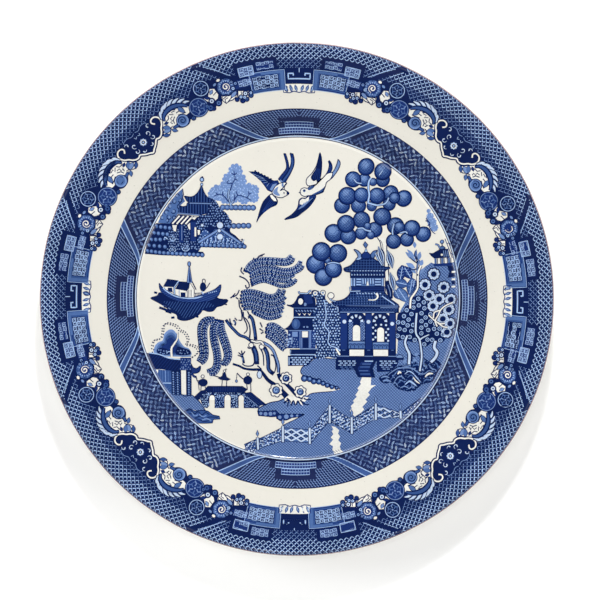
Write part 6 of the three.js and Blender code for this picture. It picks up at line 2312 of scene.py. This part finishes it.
def fence():
    """The folding fence across the near bank, its panels fretted or latticed between white posts."""
    sheet = Print("fence", "centre_scene_print", 5)
    for i, (before, after) in enumerate(zip(POSTS, POSTS[1:])):
        panel = [(before[0] + 0.7, before[1] - 0.8), (after[0] - 0.7, after[1] - 0.8),
                 (after[0] - 0.7, after[2] + 0.6), (before[0] + 0.7, before[2] + 0.6)]
        low_left, low_right = panel[3], panel[2]
        if i in LATTICED:
            def on_panel(share, level):
                return mix(mix(low_left, low_right, share), mix(panel[0], panel[1], share), level)
            sheet.area("mid", panel)
            for k in range(-1, 3):
                start, run = 0.4 * k - 0.1, 0.8
                low, high = max(0.0, -start / run), min(1.0, (1 - start) / run)
                rising = [(start + run * level, 0.06 + 0.88 * level) for level in (low, high)]
                sheet.line("frost", [on_panel(share, level) for share, level in rising], 0.72, 2)
                sheet.line("frost", [on_panel(1 - share, level) for share, level in rising], 0.72, 3)
            for share, level in ((0.1, 0.5), (0.5, 0.5), (0.9, 0.5), (0.3, 0.28), (0.3, 0.72), (0.7, 0.28),
                                 (0.7, 0.72)):
                sheet.area("navy", circle(on_panel(share, level), 1.25, 4, 0.8), 4)
                sheet.area("mid", circle(on_panel(share, level), 0.55, 4, 0.8), 5)
        else:
            sheet.area("blue", panel)
            hatch(sheet, "pale", panel, 30, 1.6, 0.4, 1)
            scatter(sheet, "frost", panel, 1.45, 0.46, 2, 0.4)
            scatter(sheet, "navy", panel, 1.5, 0.42, 3, 0.4)
        sheet.line("navy", panel, 0.36, 5, True)
    ends = ([(-27.6, -75.9), (-21.2, -72.9), (-21.2, -78.0)] + rim_arc(195.2, 198.6, 3),
            [(54.4, -58.8), (64.2, -51.6)] + rim_arc(129.4, 138.2, 5))
    for panel in ends:
        sheet.area("blue", panel)
        scatter(sheet, "frost", panel, 1.3, 0.42, 1, 0.4)
        hatch(sheet, "navy", panel, 50, 1.6, 0.36, 2)
        sheet.line("navy", panel[:2], 0.4, 3)
    for x, top, foot in POSTS:
        sheet.area("navy", box(x - 0.85, x + 0.85, foot - 0.3, top + 0.2), 6)
        sheet.area("frost", box(x - 0.5, x + 0.5, foot, top), 7)
        outlined(sheet, "mist", [(x, top + 0.5), (x - 0.75, top + 2.2), (x, top + 4.1),
                                 (x + 0.75, top + 2.2)], 0.35, 6)
    sheet.build()


for draw in (
    rim_ground, diagonal_bands, key_panels, corner_scrolls, rim_garland, wall_ground, basket_weave,
    lens_panels, ring_line, lip_line, left_bird, right_bird, globe_tree, island_pagoda, island_ground,
    island_growth, island_mist_tree, pagoda_top, pagoda_roof, pagoda_hall, pagoda_base, pagoda_trunk,
    banks, bank_flowers, fruit_tree, oval_leaves, rock_mound, far_bank, middle_house, dotted_tree,
    willow_leaves, willow_trunk, boat, left_shrub, bridge_house, bridge, walkers, lower_bank, fence,
):
    draw()


# ---------------------------------------------------------------- floor, lights and camera
FIELD_WIDTH = 0.3105
CAMERA_HEIGHT = 5.0
CAMERA_LEAN = (0.029, 0.052)  # how far the camera stands off the plate's axis, per unit of height
PLATE_OFFSET = (0.00128, -0.00093)
FLOOR_SIZE = 12
# The studio's light by degrees from straight overhead: soft light from the sides, little of it where
# the rim and the flat floor of the plate mirror it, and a bright ring between those two.
SKY = ((90, 0.3), (60, 0.5), (34, 0.5), (30, 0.15), (16, 0.15), (14.5, 3.5), (8, 3.5), (6, 0.1), (0, 0.1))


def grey(value):
    """A shader colour with this value in each channel."""
    return (value, value, value, 1.0)


def build_floor():
    """The plain pale floor, which glows faintly so that it comes out near white."""
    material, tree, shader = new_material("pale_floor")
    drift = spread(tree, noise(tree, 3.0), 0.0, 1.0)
    tone = mixed(tree, drift, linear(250, 250, 250), linear(253, 253, 252))
    tree.links.new(tone, shader.inputs["Base Color"])
    shader.inputs["Roughness"].default_value = 0.9
    shader.inputs["Emission Color"].default_value = grey(1.0)
    shader.inputs["Emission Strength"].default_value = 0.12
    bpy.ops.mesh.primitive_plane_add(size=FLOOR_SIZE)
    floor = bpy.context.object
    floor.name = "floor"
    floor.data.materials.append(material)


def build_sky():
    """The studio's soft light, stronger or weaker by its angle from straight overhead."""
    world = bpy.data.worlds.new("studio")
    bpy.context.scene.world = world
    world.use_nodes = True
    tree = world.node_tree
    background = tree.nodes["Background"]
    background.inputs["Color"].default_value = grey(1.0)
    direction = tree.nodes.new("ShaderNodeTexCoord")
    height = tree.nodes.new("ShaderNodeSeparateXYZ")
    tree.links.new(direction.outputs["Generated"], height.inputs[0])
    ramp = tree.nodes.new("ShaderNodeValToRGB")
    tree.links.new(height.outputs["Z"], ramp.inputs["Fac"])
    first, last = ramp.color_ramp.elements
    first.position, first.color = 0.0, grey(SKY[0][1])
    last.position, last.color = 1.0, grey(SKY[-1][1])
    for angle, strength in SKY[1:-1]:
        stop = ramp.color_ramp.elements.new(math.cos(math.radians(angle)))
        stop.color = grey(strength)
    tree.links.new(ramp.outputs["Color"], background.inputs["Color"])


def lamp(name, place, size, energy, mirrored=False, length=None):
    """A soft oval lamp aimed at the plate. Only a mirrored one shows in the glaze."""
    data = bpy.data.lights.new(name, "AREA")
    data.shape = "ELLIPSE"
    data.size = size
    data.size_y = length or size
    data.energy = energy
    light = bpy.data.objects.new(name, data)
    light.location = place
    light.visible_glossy = mirrored
    light.rotation_euler = (-mathutils.Vector(place)).to_track_quat("-Z", "Y").to_euler()
    bpy.context.scene.collection.objects.link(light)


def build_camera():
    """The camera, high overhead and leaning a little off the plate's axis."""
    scene = bpy.context.scene
    camera_data = bpy.data.cameras.new("camera")
    camera_data.lens = camera_data.sensor_width * CAMERA_HEIGHT / FIELD_WIDTH
    camera = bpy.data.objects.new("camera", camera_data)
    camera.location = (
        PLATE_OFFSET[0] + CAMERA_LEAN[0] * CAMERA_HEIGHT,
        PLATE_OFFSET[1] + CAMERA_LEAN[1] * CAMERA_HEIGHT,
        CAMERA_HEIGHT + FLOOR_HEIGHT * MM,
    )
    camera.rotation_euler = (-math.atan(CAMERA_LEAN[1]), math.atan(CAMERA_LEAN[0]), 0.0)
    scene.collection.objects.link(camera)
    scene.camera = camera
    scene.view_settings.view_transform = "Standard"


build_floor()
build_sky()
lamp("key_softbox", (0.17, 1.75, 1.55), 0.22, 24.0)
lamp("left_softbox", (-1.8, 0.6, 1.3), 1.1, 18.0)
lamp("right_softbox", (1.9, -0.6, 1.3), 1.1, 14.0)
lamp("glint", (-0.03, 0.24, 2.0), 0.05, 0.9, mirrored=True, length=0.12)
build_camera()
